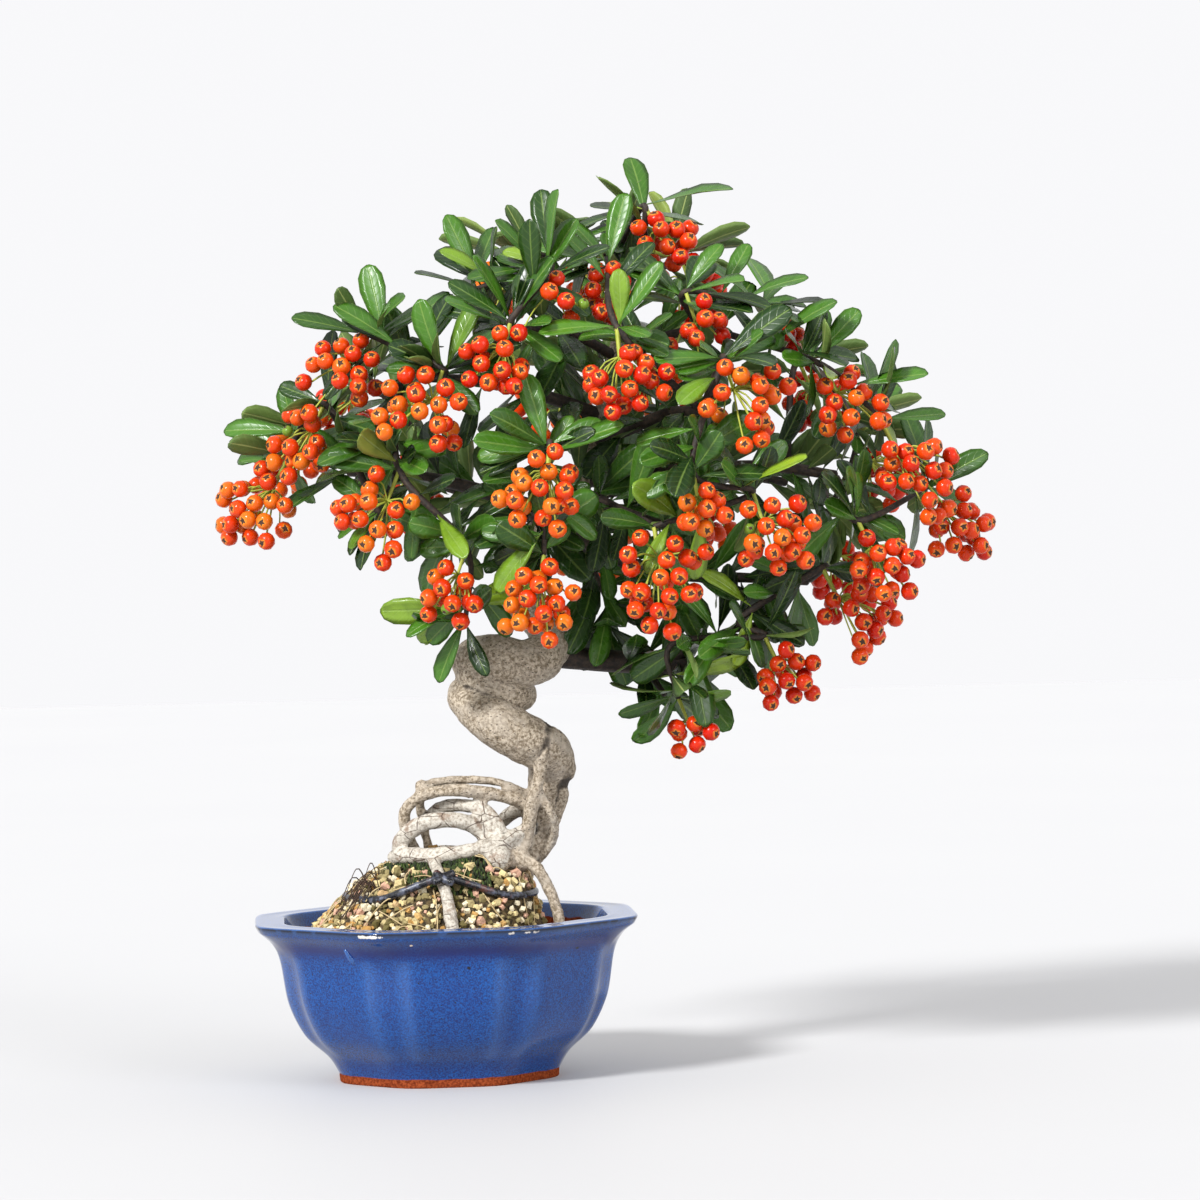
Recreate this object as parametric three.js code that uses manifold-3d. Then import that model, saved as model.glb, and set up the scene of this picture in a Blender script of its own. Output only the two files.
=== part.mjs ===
// A pyracantha grown as a bonsai, in its eight-sided glazed pot.
// Millimetres, +Z up. While it is built, the middle of the pot's foot is the origin, x runs to the right
// of the tree's front and y to its back. At the end the whole is set over its bounding box.
import * as THREE from "three";
import { mergeVertices } from "three/addons/utils/BufferGeometryUtils.js";
import Module from "manifold-3d";

const wasm = await Module();
wasm.setup();

// Gap that touching pieces keep.
const GAP = 0.3;
const SMALLEST_EDGE = 0.03;

// Pot. Each row is a level of its wall: height, apothem, depth of the corner groove, bulge of a side.
// A side is fullest between two lines at POT_SHOULDER of the way from its middle to its corners.
const POT_SIDES = 8;
const POT_TURN = 4;
const POT_SHOULDER = 0.55;
const POT_OUTSIDE = [
  [0, 43, 0.8, 0.3],
  [3.2, 43.4, 0.8, 0.3],
  [10, 47.4, 1.2, 0.5],
  [19, 56.0, 2.4, 1.2],
  [32, 62.0, 2.8, 1.4],
  [49, 65.2, 2.4, 1.2],
  [56, 68.6, 1.4, 0.9],
  [61, 74.2, 0.8, 0.6],
  [64, 75.4, 0.8, 0.5],
];
const POT_INSIDE = [
  [64, 63.6, 1.4, 0.4],
  [57, 61.4, 1.8, 0.6],
  [26, 54.4, 1.8, 0.7],
  [9.5, 38, 0.8, 0.3],
];
const POT_FLOOR_UNDER = 3.5;
const FOOT_RING_INNER = 36;
const FOOT_RING_SLOPE = 1;
const DRAIN_RADIUS = 7;

// Net over the drain hole.
const NET_SIDE = 24;
const NET_THICKNESS = 1.1;
const NET_HOLE_RADIUS = 3;
const NET_HOLES_AT = [-5, 5];

// Soil: a mound on the fill, steeper on its right. MOUND_LEFT and MOUND_RIGHT are its reach each way.
// SOIL_FOOT and SOIL_EDGE are its lowest and highest levels along the pot's wall.
const FILL_HEIGHT = 50;
const MOUND_HEIGHT = 39;
const MOUND_MIDDLE_X = -4;
const MOUND_LEFT = 56;
const MOUND_RIGHT = 44;
const SOIL_RINGS = 7;
const SOIL_GAP = 0.5;
const SOIL_FOOT = [POT_INSIDE[3][0] + GAP, 38.4, 0.8, 0.3];
const SOIL_EDGE = [FILL_HEIGHT, 59.8, 1.8, 0.6];
const GRAIN_RELIEF = 1.1;
// Radius of the pocket for the net, as a share of the net's side.
const POCKET_SHARE = 0.75;

// Wood. Each limb is a list of stops: x, y, z, radius.
const ROUND_SIDES = 8;
const THIN_SIDES = 5;
const TWIG_SIDES = 4;
const SHOOT_SIDES = 3;
const COIL = {
  foot: [[32, 2, 80, 4.5], [35, 2, 90, 5.2], [38, 3, 103, 6.2], [42, 4, 116, 7.6], [43, 1, 127, 9]],
  lower: [[46, 5, 119, 8.4], [42, -2, 129, 10.2], [32, -9, 135, 10.2], [22, -11, 141, 9.8],
    [13, -6, 148, 8.6]],
  turn: [[17, -9, 145, 8.4], [11, 0, 151, 8.4], [15, 9, 156, 7.6], [24, 11, 156, 7], [32, 5, 153, 6.6]],
  middle: [[34, 1, 151, 6.4], [29, -5, 152, 7.4], [22, -7, 155, 7.6], [14, -4, 160, 7.2],
    [12, 2, 163, 6.8]],
  upper: [[12, 4, 162, 7], [14, -4, 166, 8.6], [23, -9, 167, 9.4], [34, -10, 164, 9.6],
    [43, -4, 167, 9.4]],
  crook: [[40, -7, 165, 8.8], [45, 1, 172, 9.2], [42, 8, 181, 8.8], [33, 11, 188, 8], [30, 8, 197, 7.4]],
};
const LEADER = [[36, 11, 186, 8], [30, 9, 194, 7.6], [33, 5, 206, 6.8], [46, 3, 222, 5.8],
    [60, 5, 240, 5],
  [67, 4, 256, 4.2], [70, 0, 274, 3.4], [76, 0, 296, 2.6], [84, 2, 316, 1.9]];
const ROOTS = {
  strand_left: [[43, -8, 141, 2.4], [41, -12, 131, 2.6], [39, -11, 119, 2.6], [36, -9, 108, 2.8],
    [33, -6, 92, 3.2]],
  strand_right: [[43, -5, 140, 3], [46, -4, 129, 3.4], [48, 1, 118, 3.8], [46, 4, 106, 3.6],
    [38, 5, 90, 3.4]],
  strand_thin: [[38, -9, 114, 1.9], [43, -9, 105, 1.9], [45, -5, 98, 1.9], [42, 0, 90, 2],
    [33, 3, 80, 2.2]],
  loop_top: [[36, 2, 110, 2.2], [25, -2, 116, 1.8], [11, -4, 118, 1.8], [-4, -4, 117, 2],
    [-9, 1, 110, 2],
    [-8, 5, 100, 2], [-5, 6, 86, 2.2]],
  loop_low: [[36, -1, 107, 3.4], [26, -6, 111, 2.8], [12, -10, 114, 2.6], [-2, -10, 114, 2.6],
    [-13, -6, 109, 2.6],
    [-15, -3, 100, 2.6], [-10, 0, 86, 2.8]],
  loop_inner: [[-8, 3, 100, 2.4], [-1, -2, 107, 2.6], [9, -6, 108, 2.8], [18, -9, 105, 3],
    [23, -10, 97, 3.2],
    [25, -7, 86, 3.4]],
  loop_white: [[-17, -4, 84, 3], [-17, -8, 94, 3.2], [-9, -12, 101, 3.4], [1, -14, 103, 3.4],
    [11, -12, 101, 3.4],
    [18, -9, 94, 3.4], [21, -7, 84, 3.4]],
  base_ring: [[-20, -5, 88, 3], [-15, -12, 89, 3.2], [-5, -16, 89, 3.2], [7, -17, 90, 3.2],
    [17, -15, 92, 3.2],
    [27, -10, 95, 3.2], [35, -3, 98, 3]],
  loop_behind: [[36, 5, 108, 3.4], [28, 8, 104, 3.2], [20, 10, 97, 3], [12, 9, 86, 3]],
  back_root: [[34, 6, 92, 3], [24, 16, 90, 2.8], [8, 20, 88, 2.8], [-6, 16, 88, 2.6], [-14, 6, 86, 2.6]],
  right_root: [[29, -10, 88, 3], [37, -12, 83, 2.6], [43, -13, 72, 2.4], [46, -14, 60, 2.2],
    [46, -14, 46, 2]],
  front_root: [[-4, -17, 88, 2.4], [-1, -27, 82, 2.4], [2, -36, 74, 2.6], [4, -43, 63, 2.8],
    [6, -48, 50, 2.8]],
};
const KNOBS = [[22, -15, 87, 6.2], [30, -9, 86, 5.6], [-8, -6, 116, 3.2]];
const BRANCHES = {
  sawn: [[44, 4, 168, 6], [58, 6, 165, 4.6], [78, 5, 163, 4.4], [100, 2, 162, 4.6]],
  sawn_twig: [[76, 4, 163, 2], [84, 0, 158, 1.5], [90, -4, 150, 1.2]],
  sawn_shoot: [[92, 2, 163, 2], [104, -4, 170, 1.7], [120, -8, 176, 1.5], [140, -10, 178, 1.3]],
  front_high: [[66, 3, 252, 3], [80, -14, 257, 2.6], [94, -34, 262, 2.2], [106, -54, 262, 1.8]],
  front_low: [[52, 3, 230, 3.2], [62, -20, 230, 2.6], [74, -44, 224, 2.2], [90, -60, 218, 1.8]],
  front_middle: [[44, 2, 219, 3], [40, -18, 222, 2.4], [40, -38, 222, 2], [42, -58, 220, 1.7]],
  right_main: [[58, 5, 237, 3.8], [80, 6, 238, 3.2], [108, 2, 240, 2.8], [136, -4, 240, 2.4],
    [160, -8, 236, 2]],
  right_low: [[48, 3, 221, 3.4], [70, -2, 206, 2.8], [96, -6, 198, 2.4], [124, -6, 196, 2],
    [148, -4, 194, 1.7]],
  left_main: [[48, 3, 223, 3.6], [28, -4, 230, 3], [6, -8, 237, 2.6], [-16, -8, 241, 2.2],
    [-34, -4, 242, 1.8]],
  left_high: [[68, 3, 262, 3], [46, -8, 270, 2.6], [24, -16, 276, 2.2], [4, -24, 278, 1.8],
    [-12, -28, 278, 1.6]],
  crest: [[73, 0, 286, 2.4], [62, -12, 292, 2], [50, -24, 296, 1.7], [40, -34, 296, 1.5]],
  crest_right: [[72, 0, 282, 2.6], [86, -12, 290, 2.1], [100, -22, 294, 1.8], [114, -26, 294, 1.5]],
  back_high: [[69, 2, 268, 2.8], [70, 20, 276, 2.3], [68, 38, 282, 1.9], [66, 52, 288, 1.6]],
  back_low: [[56, 5, 234, 3.2], [62, 28, 240, 2.6], [70, 50, 240, 2.1], [76, 66, 238, 1.8]],
  back_left: [[44, 4, 220, 3], [24, 22, 228, 2.4], [2, 36, 236, 2], [-16, 42, 240, 1.7]],
  back_right: [[64, 4, 246, 3], [92, 20, 240, 2.5], [120, 32, 238, 2.1], [142, 38, 234, 1.8]],
};

// Tie round the root ball. It lies where the mound has dropped by this share of its height, and rises over
// the front root at its knot.
const TIE_RADIUS = 1.6;
const TIE_DROP = 0.44;
const TIE_KNOT_ANGLE = -82;
const TIE_KNOT_LIFT = 8.5;
const TIE_STEPS = 20;
const TIE_RISE = 9;
// The knot's two twists, each a list of stops from the knot's place: x, y, z, radius.
const TIE_TWISTS = [
  [[-3, -1.5, 2.6, 1.5], [0, -1.5, 0, 1.9], [3.4, -3.6, -1.4, 1.4]],
  [[4, 0, 2.2, 1.4], [0, -0.5, 0.4, 2], [-3.4, -3.2, -1, 1.4]],
];

// Crown. Each twig carries its rosettes in order. A rosette with a bunch is given by the bunch: x, y, z
// of its middle and its radius. One without a bunch is given by its own place and a radius of 0.
const CROWN_MIDDLE = [66, 0, 235];
const TWIGS = {
  left_tip: [[-21, -38, 226, 0], [-50, -28, 252, 13], [-68, -10, 228, 16], [-60, 30, 244, 13]],
  left_low: [[-20, -58, 222, 16], [8, -62, 195, 12], [12, -34, 182, 0]],
  left_high: [[-1, -70, 259, 18], [-33, -38, 276, 16]],
  left_back: [[-12, 66, 233, 15], [-38, 48, 264, 15]],
  crest_left: [[29, -74, 281, 13], [46, -62, 300, 17], [17, -28, 312, 0]],
  crest_middle: [[75, -84, 275, 16], [72, -46, 307, 12]],
  crown: [[94, -12, 329, 12], [76, 14, 329, 0]],
  crest_right: [[107, -60, 288, 17], [142, -26, 290, 8]],
  crest_back: [[107, 50, 310, 15], [68, 62, 311, 15], [27, 36, 311, 14]],
  front: [[120, -86, 261, 17], [104, -98, 223, 11], [130, -88, 211, 15], [89, -86, 197, 17]],
  right_high: [[163, -42, 261, 14], [187, -36, 236, 18]],
  right_tip: [[174, -54, 200, 14], [206, -16, 213, 14]],
  right_low: [[163, -26, 179, 17], [120, -24, 180, 0], [137, -28, 157, 12], [93, -30, 171, 0],
    [100, -30, 136, 9]],
  right_back: [[157, 52, 265, 15], [180, 36, 234, 15], [164, 54, 195, 15]],
  middle: [[45, -92, 232, 15], [41, -78, 190, 14]],
  back: [[50, 86, 263, 16], [88, 88, 270, 15], [108, 86, 221, 15], [66, 80, 210, 16]],
};
const TWIG_RADII = [1.6, 1.1];
// A bunch hangs on its stalk, this long, down and away from the crown's middle line by HANG_LEAN.
const STALK = 6;
const HANG_LEAN = 0.5;
// A rosette's own room is centred this share of the way from its place on the twig to its bunch.
const ROOM_SHARE = 0.4;
// Leaves of a rosette leave the twig one after another over this length.
const ROSETTE_DEPTH = 10;
const DEEPEST_ROOT = 0.9;
const ROOT_HEIGHT = 0.2;
// Leaves needn't keep clear of their own twig this near to its rosette.
const ROOT_ROOM = 13;

// Leaves: long ones whose tips stand at the crown's edge, and then leaves all round each rosette.
const LEAF_TIPS = [
  [121, -16, 355], [94, -12, 352], [66, -6, 349], [115, -30, 331], [131, 6, 329], [71, -30, 335],
  [26, -20, 339], [42, 0, 328], [-5, -40, 322], [-5, -66, 306], [-48, -30, 291], [-61, -20, 277],
  [224, -12, 225], [209, -40, 215], [159, -30, 152], [118, -40, 150], [141, -20, 138], [72, -30, 142],
  [84, -24, 140], [61, 10, 145], [-24, -60, 187], [-15, -44, 168], [-1, -36, 158], [8, -44, 155],
  [158, -60, 275], [203, -20, 247], [-77, -10, 249], [53, -40, 327], [148, 0, 306],
];
const LEAVES_WITH_BUNCH = 4;
const LEAVES_ALONE = 6;
const LEAF_TRIES = 60;
const LONGEST_TIP = 36;
// A leaf that doesn't fit is tried again at these shares of its length.
const LEAF_SHRINK = [1, 0.84, 0.7];
// Leaves face the sky and away from the crown's middle, and none grows inwards beyond INWARDMOST.
const LIGHT_OUT = 0.9;
const LIGHT_UP = 0.5;
const INWARDMOST = -0.35;
// Leaves of a rosette stand between the cone round its bunch, with this margin in degrees, and this cosine.
const BUNCH_MARGIN = 12;
const FURTHEST_COSINE = -0.9;
const LEAF_LENGTH = [22, 33];
const LEAF_WIDTH_SHARE = [0.3, 0.35];
const LEAF_THICKNESS = 0.7;
const LEAF_ARCH = [0.06, 0.2];
const LEAF_FOLD = 0.22;
// Outline of a blade: place along the leaf, share of its half width. Its faces are one at the root, one
// along the middle to the tip and one at each side.
const LEAF_OUTLINE = [[0, 0], [0.42, -0.8], [0.8, -0.92], [1, 0], [0.8, 0.92], [0.42, 0.8]];
const LEAF_TIP = 3;
const LEAF_FACES = [[0, 1, 5], [5, 1, 3], [1, 2, 3], [3, 4, 5]];
const LEAF_SPREAD = 36;
const LEAF_CLEAR = 0.8;
const BLADES_APART = 1;
// A leaf stands off its twig by at least this angle.
const LEAF_OFF_TWIG = 32;
const GOLDEN_ANGLE = 137.508;
const GOLDEN_SHARE = 0.618034;

// A bunch: up to seven berries that stand out like the corners of a cube, with the stalk as the eighth, on
// the faces of a small eight-sided core. CUBE_CORNERS are told by signs, the far end of the bunch first.
const BERRY_RADIUS = 3.7;
const BERRY_CLEAR = 0.5;
const CUBE_CORNERS = [
  [1, 1, 1], [-1, 1, 1], [1, -1, 1], [1, 1, -1], [-1, -1, 1], [1, -1, -1], [-1, 1, -1], [-1, -1, -1],
];
// Angle between the middle line of the bunch and the nearest corners of its core.
const CORE_ANGLE = 54.7356;
const CORE_SHARE = 0.5;
// The core's corners reach no further than this many times the way from its middle to a berry's near face.
const CORE_REACH = 1.5;
// Corners of a berry: height above its middle, distance from its middle line, turn. Lengths are shares of
// its radius, and the first three corners are its near face.
const BERRY_LEVELS = [[-0.795, 0.607, 0], [-0.14, 0.99, 60], [0.27, 0.963, 0]];
// Room kept round a bunch's stalk: share of the way from the twig to the bunch's middle, and a radius as a
// share of the bunch's.
const STALK_BEADS = [[0.35, 0.1], [0.6, 0.22]];
const STALK_RADIUS = 1;
const STALK_FOOT = 2;

const COLOURS = {
  pot: [0x2f56a6, 0.25],
  soil: [0xa08d5f, 0.95],
  trunk: [0x8d8270, 0.85],
  tie: [0x26292b, 0.6],
  drain_mesh: [0x1d1f20, 0.6],
  leaves: [0x2f5a34, 0.5],
  berries: [0xd9481f, 0.35],
};

const radians = THREE.MathUtils.degToRad;
const vector = (x, y, z) => new THREE.Vector3(x, y, z);

// Solids

function solidOf(geometry) {
  geometry.deleteAttribute("normal");
  geometry.deleteAttribute("uv");
  const merged = mergeVertices(geometry, 1e-4);
  return new wasm.Manifold(new wasm.Mesh({
    numProp: 3,
    vertProperties: new Float32Array(merged.attributes.position.array),
    triVerts: new Uint32Array(merged.index.array),
  }));
}

function joined(solids) {
  return solids.reduce((all, next) => all.add(next));
}

function largestBody(solid) {
  return solid.decompose().reduce((best, body) => (body.volume() > best.volume() ? body : best));
}

function geometryOf(points, faces) {
  const places = points.flatMap((p) => p.toArray());
  const geometry = new THREE.BufferGeometry();
  geometry.setAttribute("position", new THREE.Float32BufferAttribute(places, 3));
  geometry.setIndex(faces.flat());
  return geometry;
}

// The closed surface through rings of points: capped at its two poles, or with no poles closed on itself.
function shell(rings, poles) {
  const around = rings[0].length;
  const points = rings.flat();
  const faces = [];
  const links = poles ? rings.length - 1 : rings.length;
  for (let ring = 0; ring < links; ring++) {
    const low = ring * around;
    const high = ((ring + 1) % rings.length) * around;
    for (let j = 0; j < around; j++) {
      const next = (j + 1) % around;
      faces.push([low + j, low + next, high + next], [low + j, high + next, high + j]);
    }
  }
  if (poles) {
    const last = (rings.length - 1) * around;
    const start = points.push(poles[0]) - 1;
    const end = points.push(poles[1]) - 1;
    for (let j = 0; j < around; j++) {
      const next = (j + 1) % around;
      faces.push([start, next, j], [last + j, last + next, end]);
    }
  }
  return solidOf(geometryOf(points, faces));
}

function curveThrough(stops) {
  return new THREE.CatmullRomCurve3(stops.map(([x, y, z]) => vector(x, y, z)), false, "catmullrom", 0.5);
}

function radiusAt(stops, t) {
  const place = t * (stops.length - 1);
  const before = Math.min(Math.floor(place), stops.length - 2);
  return THREE.MathUtils.lerp(stops[before][3], stops[before + 1][3], place - before);
}

// A tapering round limb through its stops, with ends rounded by the share endRound of their radius.
function limb(stops, sides, spacing, { swell = 0, endRound = 0.5 } = {}) {
  const curve = curveThrough(stops);
  const spans = stops.length - 1;
  const places = [0];
  for (let span = 0; span < spans; span++) {
    const chord = vector(...stops[span]).distanceTo(vector(...stops[span + 1]));
    const count = Math.max(1, Math.round(chord / spacing));
    for (let i = 1; i <= count; i++) places.push((span + i / count) / spans);
  }
  let normal = vector(0, 0, 1);
  const rings = places.map((t) => {
    const middle = curve.getPoint(t);
    const tangent = curve.getTangent(t);
    normal = perpendicularTo(tangent, normal);
    const binormal = tangent.clone().cross(normal);
    const radius = radiusAt(stops, t) + swell;
    return Array.from({ length: sides }, (_, j) => {
      const angle = (j / sides) * Math.PI * 2;
      return middle.clone()
        .addScaledVector(normal, Math.cos(angle) * radius)
        .addScaledVector(binormal, Math.sin(angle) * radius);
    });
  });
  const first = stops[0][3] + swell;
  const last = stops[spans][3] + swell;
  return shell(rings, [
    curve.getPoint(0).addScaledVector(curve.getTangent(0), -endRound * first),
    curve.getPoint(1).addScaledVector(curve.getTangent(1), endRound * last),
  ]);
}

function ball(middle, radius, detail = 0) {
  return solidOf(new THREE.IcosahedronGeometry(radius, detail).translate(middle.x, middle.y, middle.z));
}

// Pot

function potRing([height, apothem, groove, bulge], inset = 0) {
  const points = [];
  const inner = apothem - inset;
  const half = inner * Math.tan(Math.PI / POT_SIDES);
  const cornerShare = 1 - groove / inner;
  for (let side = 0; side < POT_SIDES; side++) {
    const facing = radians(POT_TURN + (side * 360) / POT_SIDES - 90);
    const out = vector(Math.cos(facing), Math.sin(facing), 0);
    const along = vector(-out.y, out.x, 0);
    const at = (share, proud, scale) => out.clone().multiplyScalar((inner + proud) * scale)
      .addScaledVector(along, half * share * scale)
      .setZ(height);
    points.push(at(-1, 0, cornerShare));
    points.push(at(-POT_SHOULDER, bulge, 1));
    points.push(at(POT_SHOULDER, bulge, 1));
  }
  return points;
}

function roundRing(like, radius, height) {
  return like.map((p) => vector(p.x, p.y, 0).setLength(radius).setZ(height));
}

function makePot() {
  const outside = POT_OUTSIDE.map((row) => potRing(row));
  const inside = POT_INSIDE.map((row) => potRing(row));
  const floor = POT_INSIDE[POT_INSIDE.length - 1][0];
  return shell([
    ...outside,
    ...inside,
    roundRing(outside[0], DRAIN_RADIUS, floor),
    roundRing(outside[0], DRAIN_RADIUS, POT_FLOOR_UNDER),
    potRing([POT_FLOOR_UNDER, FOOT_RING_INNER - FOOT_RING_SLOPE, 0, 0]),
    potRing([0, FOOT_RING_INNER, 0, 0]),
  ]);
}

function makeDrainMesh() {
  const floor = POT_INSIDE[POT_INSIDE.length - 1][0];
  const outline = new THREE.Shape();
  const half = NET_SIDE / 2;
  outline.moveTo(-half, -half);
  outline.lineTo(half, -half);
  outline.lineTo(half, half);
  outline.lineTo(-half, half);
  outline.closePath();
  for (const x of NET_HOLES_AT) {
    for (const y of NET_HOLES_AT) {
      const hole = new THREE.Path();
      hole.absarc(x, y, NET_HOLE_RADIUS, 0, Math.PI * 2, true);
      outline.holes.push(hole);
    }
  }
  const plate = new THREE.ExtrudeGeometry(outline, {
    depth: NET_THICKNESS,
    bevelEnabled: false,
    curveSegments: 3,
  });
  return solidOf(plate.translate(0, 0, floor + GAP));
}

// Soil

// How far the mound reaches in a direction, whose cosine with +x is given.
function moundReach(cosine) {
  return (MOUND_LEFT + MOUND_RIGHT) / 2 - (cosine * (MOUND_LEFT - MOUND_RIGHT)) / 2;
}

// How late and steeply the mound drops in that direction.
function moundSteepness(cosine) {
  return 2.2 + 6.8 * Math.max(0, cosine) ** 3 - 0.4 * Math.max(0, -cosine);
}

function soilHeight(x, y) {
  const dx = x - MOUND_MIDDLE_X;
  const away = Math.hypot(dx, y);
  const cosine = away > 0 ? dx / away : 0;
  const share = Math.min(1, away / moundReach(cosine));
  return FILL_HEIGHT + MOUND_HEIGHT * (1 - share ** moundSteepness(cosine));
}

function makeSoil(holes) {
  const draw = seeded(7);
  const pocket = SOIL_FOOT[0] + NET_THICKNESS + GAP;
  const edge = potRing(SOIL_EDGE, SOIL_GAP);
  const rings = [
    roundRing(edge, NET_SIDE * POCKET_SHARE, pocket),
    roundRing(edge, NET_SIDE * POCKET_SHARE + 1, SOIL_FOOT[0]),
    potRing(SOIL_FOOT, SOIL_GAP),
    potRing(POT_INSIDE[2], SOIL_GAP),
    edge,
  ];
  const middle = vector(MOUND_MIDDLE_X, 0, 0);
  for (let i = 1; i < SOIL_RINGS; i++) {
    const share = 1 - i / SOIL_RINGS;
    rings.push(edge.map((p) => {
      const x = THREE.MathUtils.lerp(middle.x, p.x, share);
      const y = THREE.MathUtils.lerp(middle.y, p.y, share);
      return vector(x, y, soilHeight(x, y) + (draw() - 0.5) * 2 * GRAIN_RELIEF);
    }));
  }
  const top = vector(middle.x, middle.y, soilHeight(middle.x, middle.y));
  const mound = shell(rings, [vector(0, 0, pocket), top]);
  return largestBody(holes.reduce((left, hole) => left.subtract(hole), mound));
}

// Tie

function tiePlace(degrees, lift) {
  const angle = radians(degrees);
  const cosine = Math.cos(angle);
  const reach = moundReach(cosine) * TIE_DROP ** (1 / moundSteepness(cosine));
  const x = MOUND_MIDDLE_X + cosine * reach;
  const y = Math.sin(angle) * reach;
  return [x, y, soilHeight(x, y) + TIE_RADIUS / 2 + lift];
}

function tieLimbs(swell) {
  const stops = [];
  for (let i = 0; i <= TIE_STEPS; i++) {
    const share = i / TIE_STEPS;
    const nearKnot = Math.max(0, 1 - Math.min(share, 1 - share) * TIE_RISE);
    stops.push([...tiePlace(TIE_KNOT_ANGLE + 5 + 350 * share, TIE_KNOT_LIFT * nearKnot), TIE_RADIUS]);
  }
  const [x, y, z] = tiePlace(TIE_KNOT_ANGLE, TIE_KNOT_LIFT);
  const fromKnot = ([dx, dy, dz, radius]) => [x + dx, y + dy, z + dz, radius];
  const twists = TIE_TWISTS.map((path) => path.map(fromKnot));
  return [stops, ...twists].map((path) => limb(path, TWIG_SIDES, 1000, { swell }));
}

// Wood

function coilLimbs(swell) {
  return Object.values(COIL).map((stops) => limb(stops, ROUND_SIDES, 1000, { swell }));
}

function rootLimbs(swell) {
  const roots = Object.values(ROOTS).map((stops) => limb(stops, THIN_SIDES, 1000, { swell }));
  const knobs = KNOBS.map(([x, y, z, radius]) => ball(vector(x, y, z), radius + swell));
  return [...roots, ...knobs];
}

function makeTrunk() {
  const branches = Object.values(BRANCHES).map((stops) => limb(stops, TWIG_SIDES, 1000));
  return joined([...coilLimbs(0), limb(LEADER, 6, 1000), ...rootLimbs(0), ...branches]);
}

// Crown: the rule that places twigs, leaves and berries

// Repeatable draws between 0 and 1.
function seeded(seed) {
  let state = 1000 + 7919 * (seed + 1);
  return () => {
    state = (state * 16807) % 2147483647;
    return state / 2147483647;
  };
}

// Points along a limb with its radius there, close enough together to stand for it in a distance test.
function beads(stops, apart = 2.5) {
  const curve = curveThrough(stops);
  const made = [];
  const spans = stops.length - 1;
  for (let span = 0; span < spans; span++) {
    const [ax, ay, az] = stops[span];
    const [bx, by, bz] = stops[span + 1];
    const count = Math.ceil(Math.hypot(bx - ax, by - ay, bz - az) / apart);
    for (let i = 0; i < count; i++) {
      const t = (span + i / count) / spans;
      made.push({ at: curve.getPoint(t), radius: radiusAt(stops, t) });
    }
  }
  made.push({ at: curve.getPoint(1), radius: stops[spans][3] });
  return made;
}

function perpendicularTo(axis, hint) {
  const side = hint.clone().addScaledVector(axis, -hint.dot(axis));
  if (side.lengthSq() > 0.01) return side.normalize();
  return perpendicularTo(axis, vector(hint.y, hint.z, hint.x + 1));
}

// The direction at an angle from axis and a turn about it, both in degrees.
function around(axis, angle, turn) {
  const side = perpendicularTo(axis, vector(0, 0, 1));
  const other = axis.clone().cross(side);
  return axis.clone().multiplyScalar(Math.cos(radians(angle)))
    .addScaledVector(side, Math.sin(radians(angle)) * Math.cos(radians(turn)))
    .addScaledVector(other, Math.sin(radians(angle)) * Math.sin(radians(turn)));
}

function rosetteOf([x, y, z, radius]) {
  const middle = vector(...CROWN_MIDDLE);
  const given = vector(x, y, z);
  const level = vector(x - middle.x, y - middle.y, 0).normalize();
  const axis = vector(level.x * HANG_LEAN, level.y * HANG_LEAN, -1).normalize();
  const hub = radius > 0 ? given.clone().addScaledVector(axis, -(radius + STALK)) : given.clone();
  const site = radius > 0 ? hub.clone().lerp(given, ROOM_SHARE) : hub.clone();
  const outward = hub.clone().sub(middle).normalize();
  return { hub, site, axis, radius, bunch: given, outward, leaves: [], berries: [], tips: [] };
}

// A twig starts on the nearest bearing limb and runs from rosette to rosette.
function layTwigs() {
  const bearing = [LEADER, ...Object.values(BRANCHES)].flatMap((stops) => beads(stops));
  return Object.entries(TWIGS).map(([name, rows]) => {
    const rosettes = rows.map(rosetteOf);
    const from = rosettes[0].hub;
    const near = bearing.reduce((best, bead) => (
      bead.at.distanceTo(from) < best.at.distanceTo(from) ? bead : best));
    const away = from.clone().sub(near.at).normalize();
    const start = near.at.clone().addScaledVector(away, near.radius + GAP + TWIG_RADII[0] * 0.6);
    const path = [start, ...rosettes.map((rosette) => rosette.hub)];
    const stops = path.map((p, i) => [p.x, p.y, p.z,
      THREE.MathUtils.lerp(TWIG_RADII[0], TWIG_RADII[1], i / (path.length - 1))]);
    const curve = curveThrough(stops);
    rosettes.forEach((rosette, i) => {
      const before = curve.getPoint((i + 0.5) / rosettes.length);
      rosette.twigWay = rosette.hub.clone().sub(before);
    });
    return { name, rosettes, stops, beads: beads(stops, 1.5) };
  });
}

function pointTriangle(p, a, b, c) {
  const triangle = new THREE.Triangle(a, b, c);
  return triangle.closestPointToPoint(p, vector(0, 0, 0)).distanceTo(p);
}

// The outline of a blade's middle surface, from its root round to its root.
function bladeOutline(leaf) {
  const side = leaf.upper.clone().cross(leaf.along);
  return LEAF_OUTLINE.map(([share, wide]) => {
    const across = (wide * leaf.width) / 2;
    return leaf.root.clone()
      .addScaledVector(leaf.along, share * leaf.length)
      .addScaledVector(side, across)
      .addScaledVector(leaf.upper, LEAF_FOLD * Math.abs(across) - leaf.arch * leaf.length * share * share);
  });
}

function bladeTriangles(outline) {
  return LEAF_FACES.map((face) => face.map((i) => outline[i]));
}

function clearOf(at, faces, distance) {
  return faces.every(([a, b, c]) => pointTriangle(at, a, b, c) > distance);
}

// Places on a blade that are tested against its neighbours: its outline without the root, and points
// halfway from the root to both sides and to the tip.
function feelers(outline) {
  const rays = [outline[1], outline[LEAF_TIP], outline[outline.length - 1]];
  return [...outline.slice(1), ...rays.map((p) => p.clone().lerp(outline[0], 0.5))];
}

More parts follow.
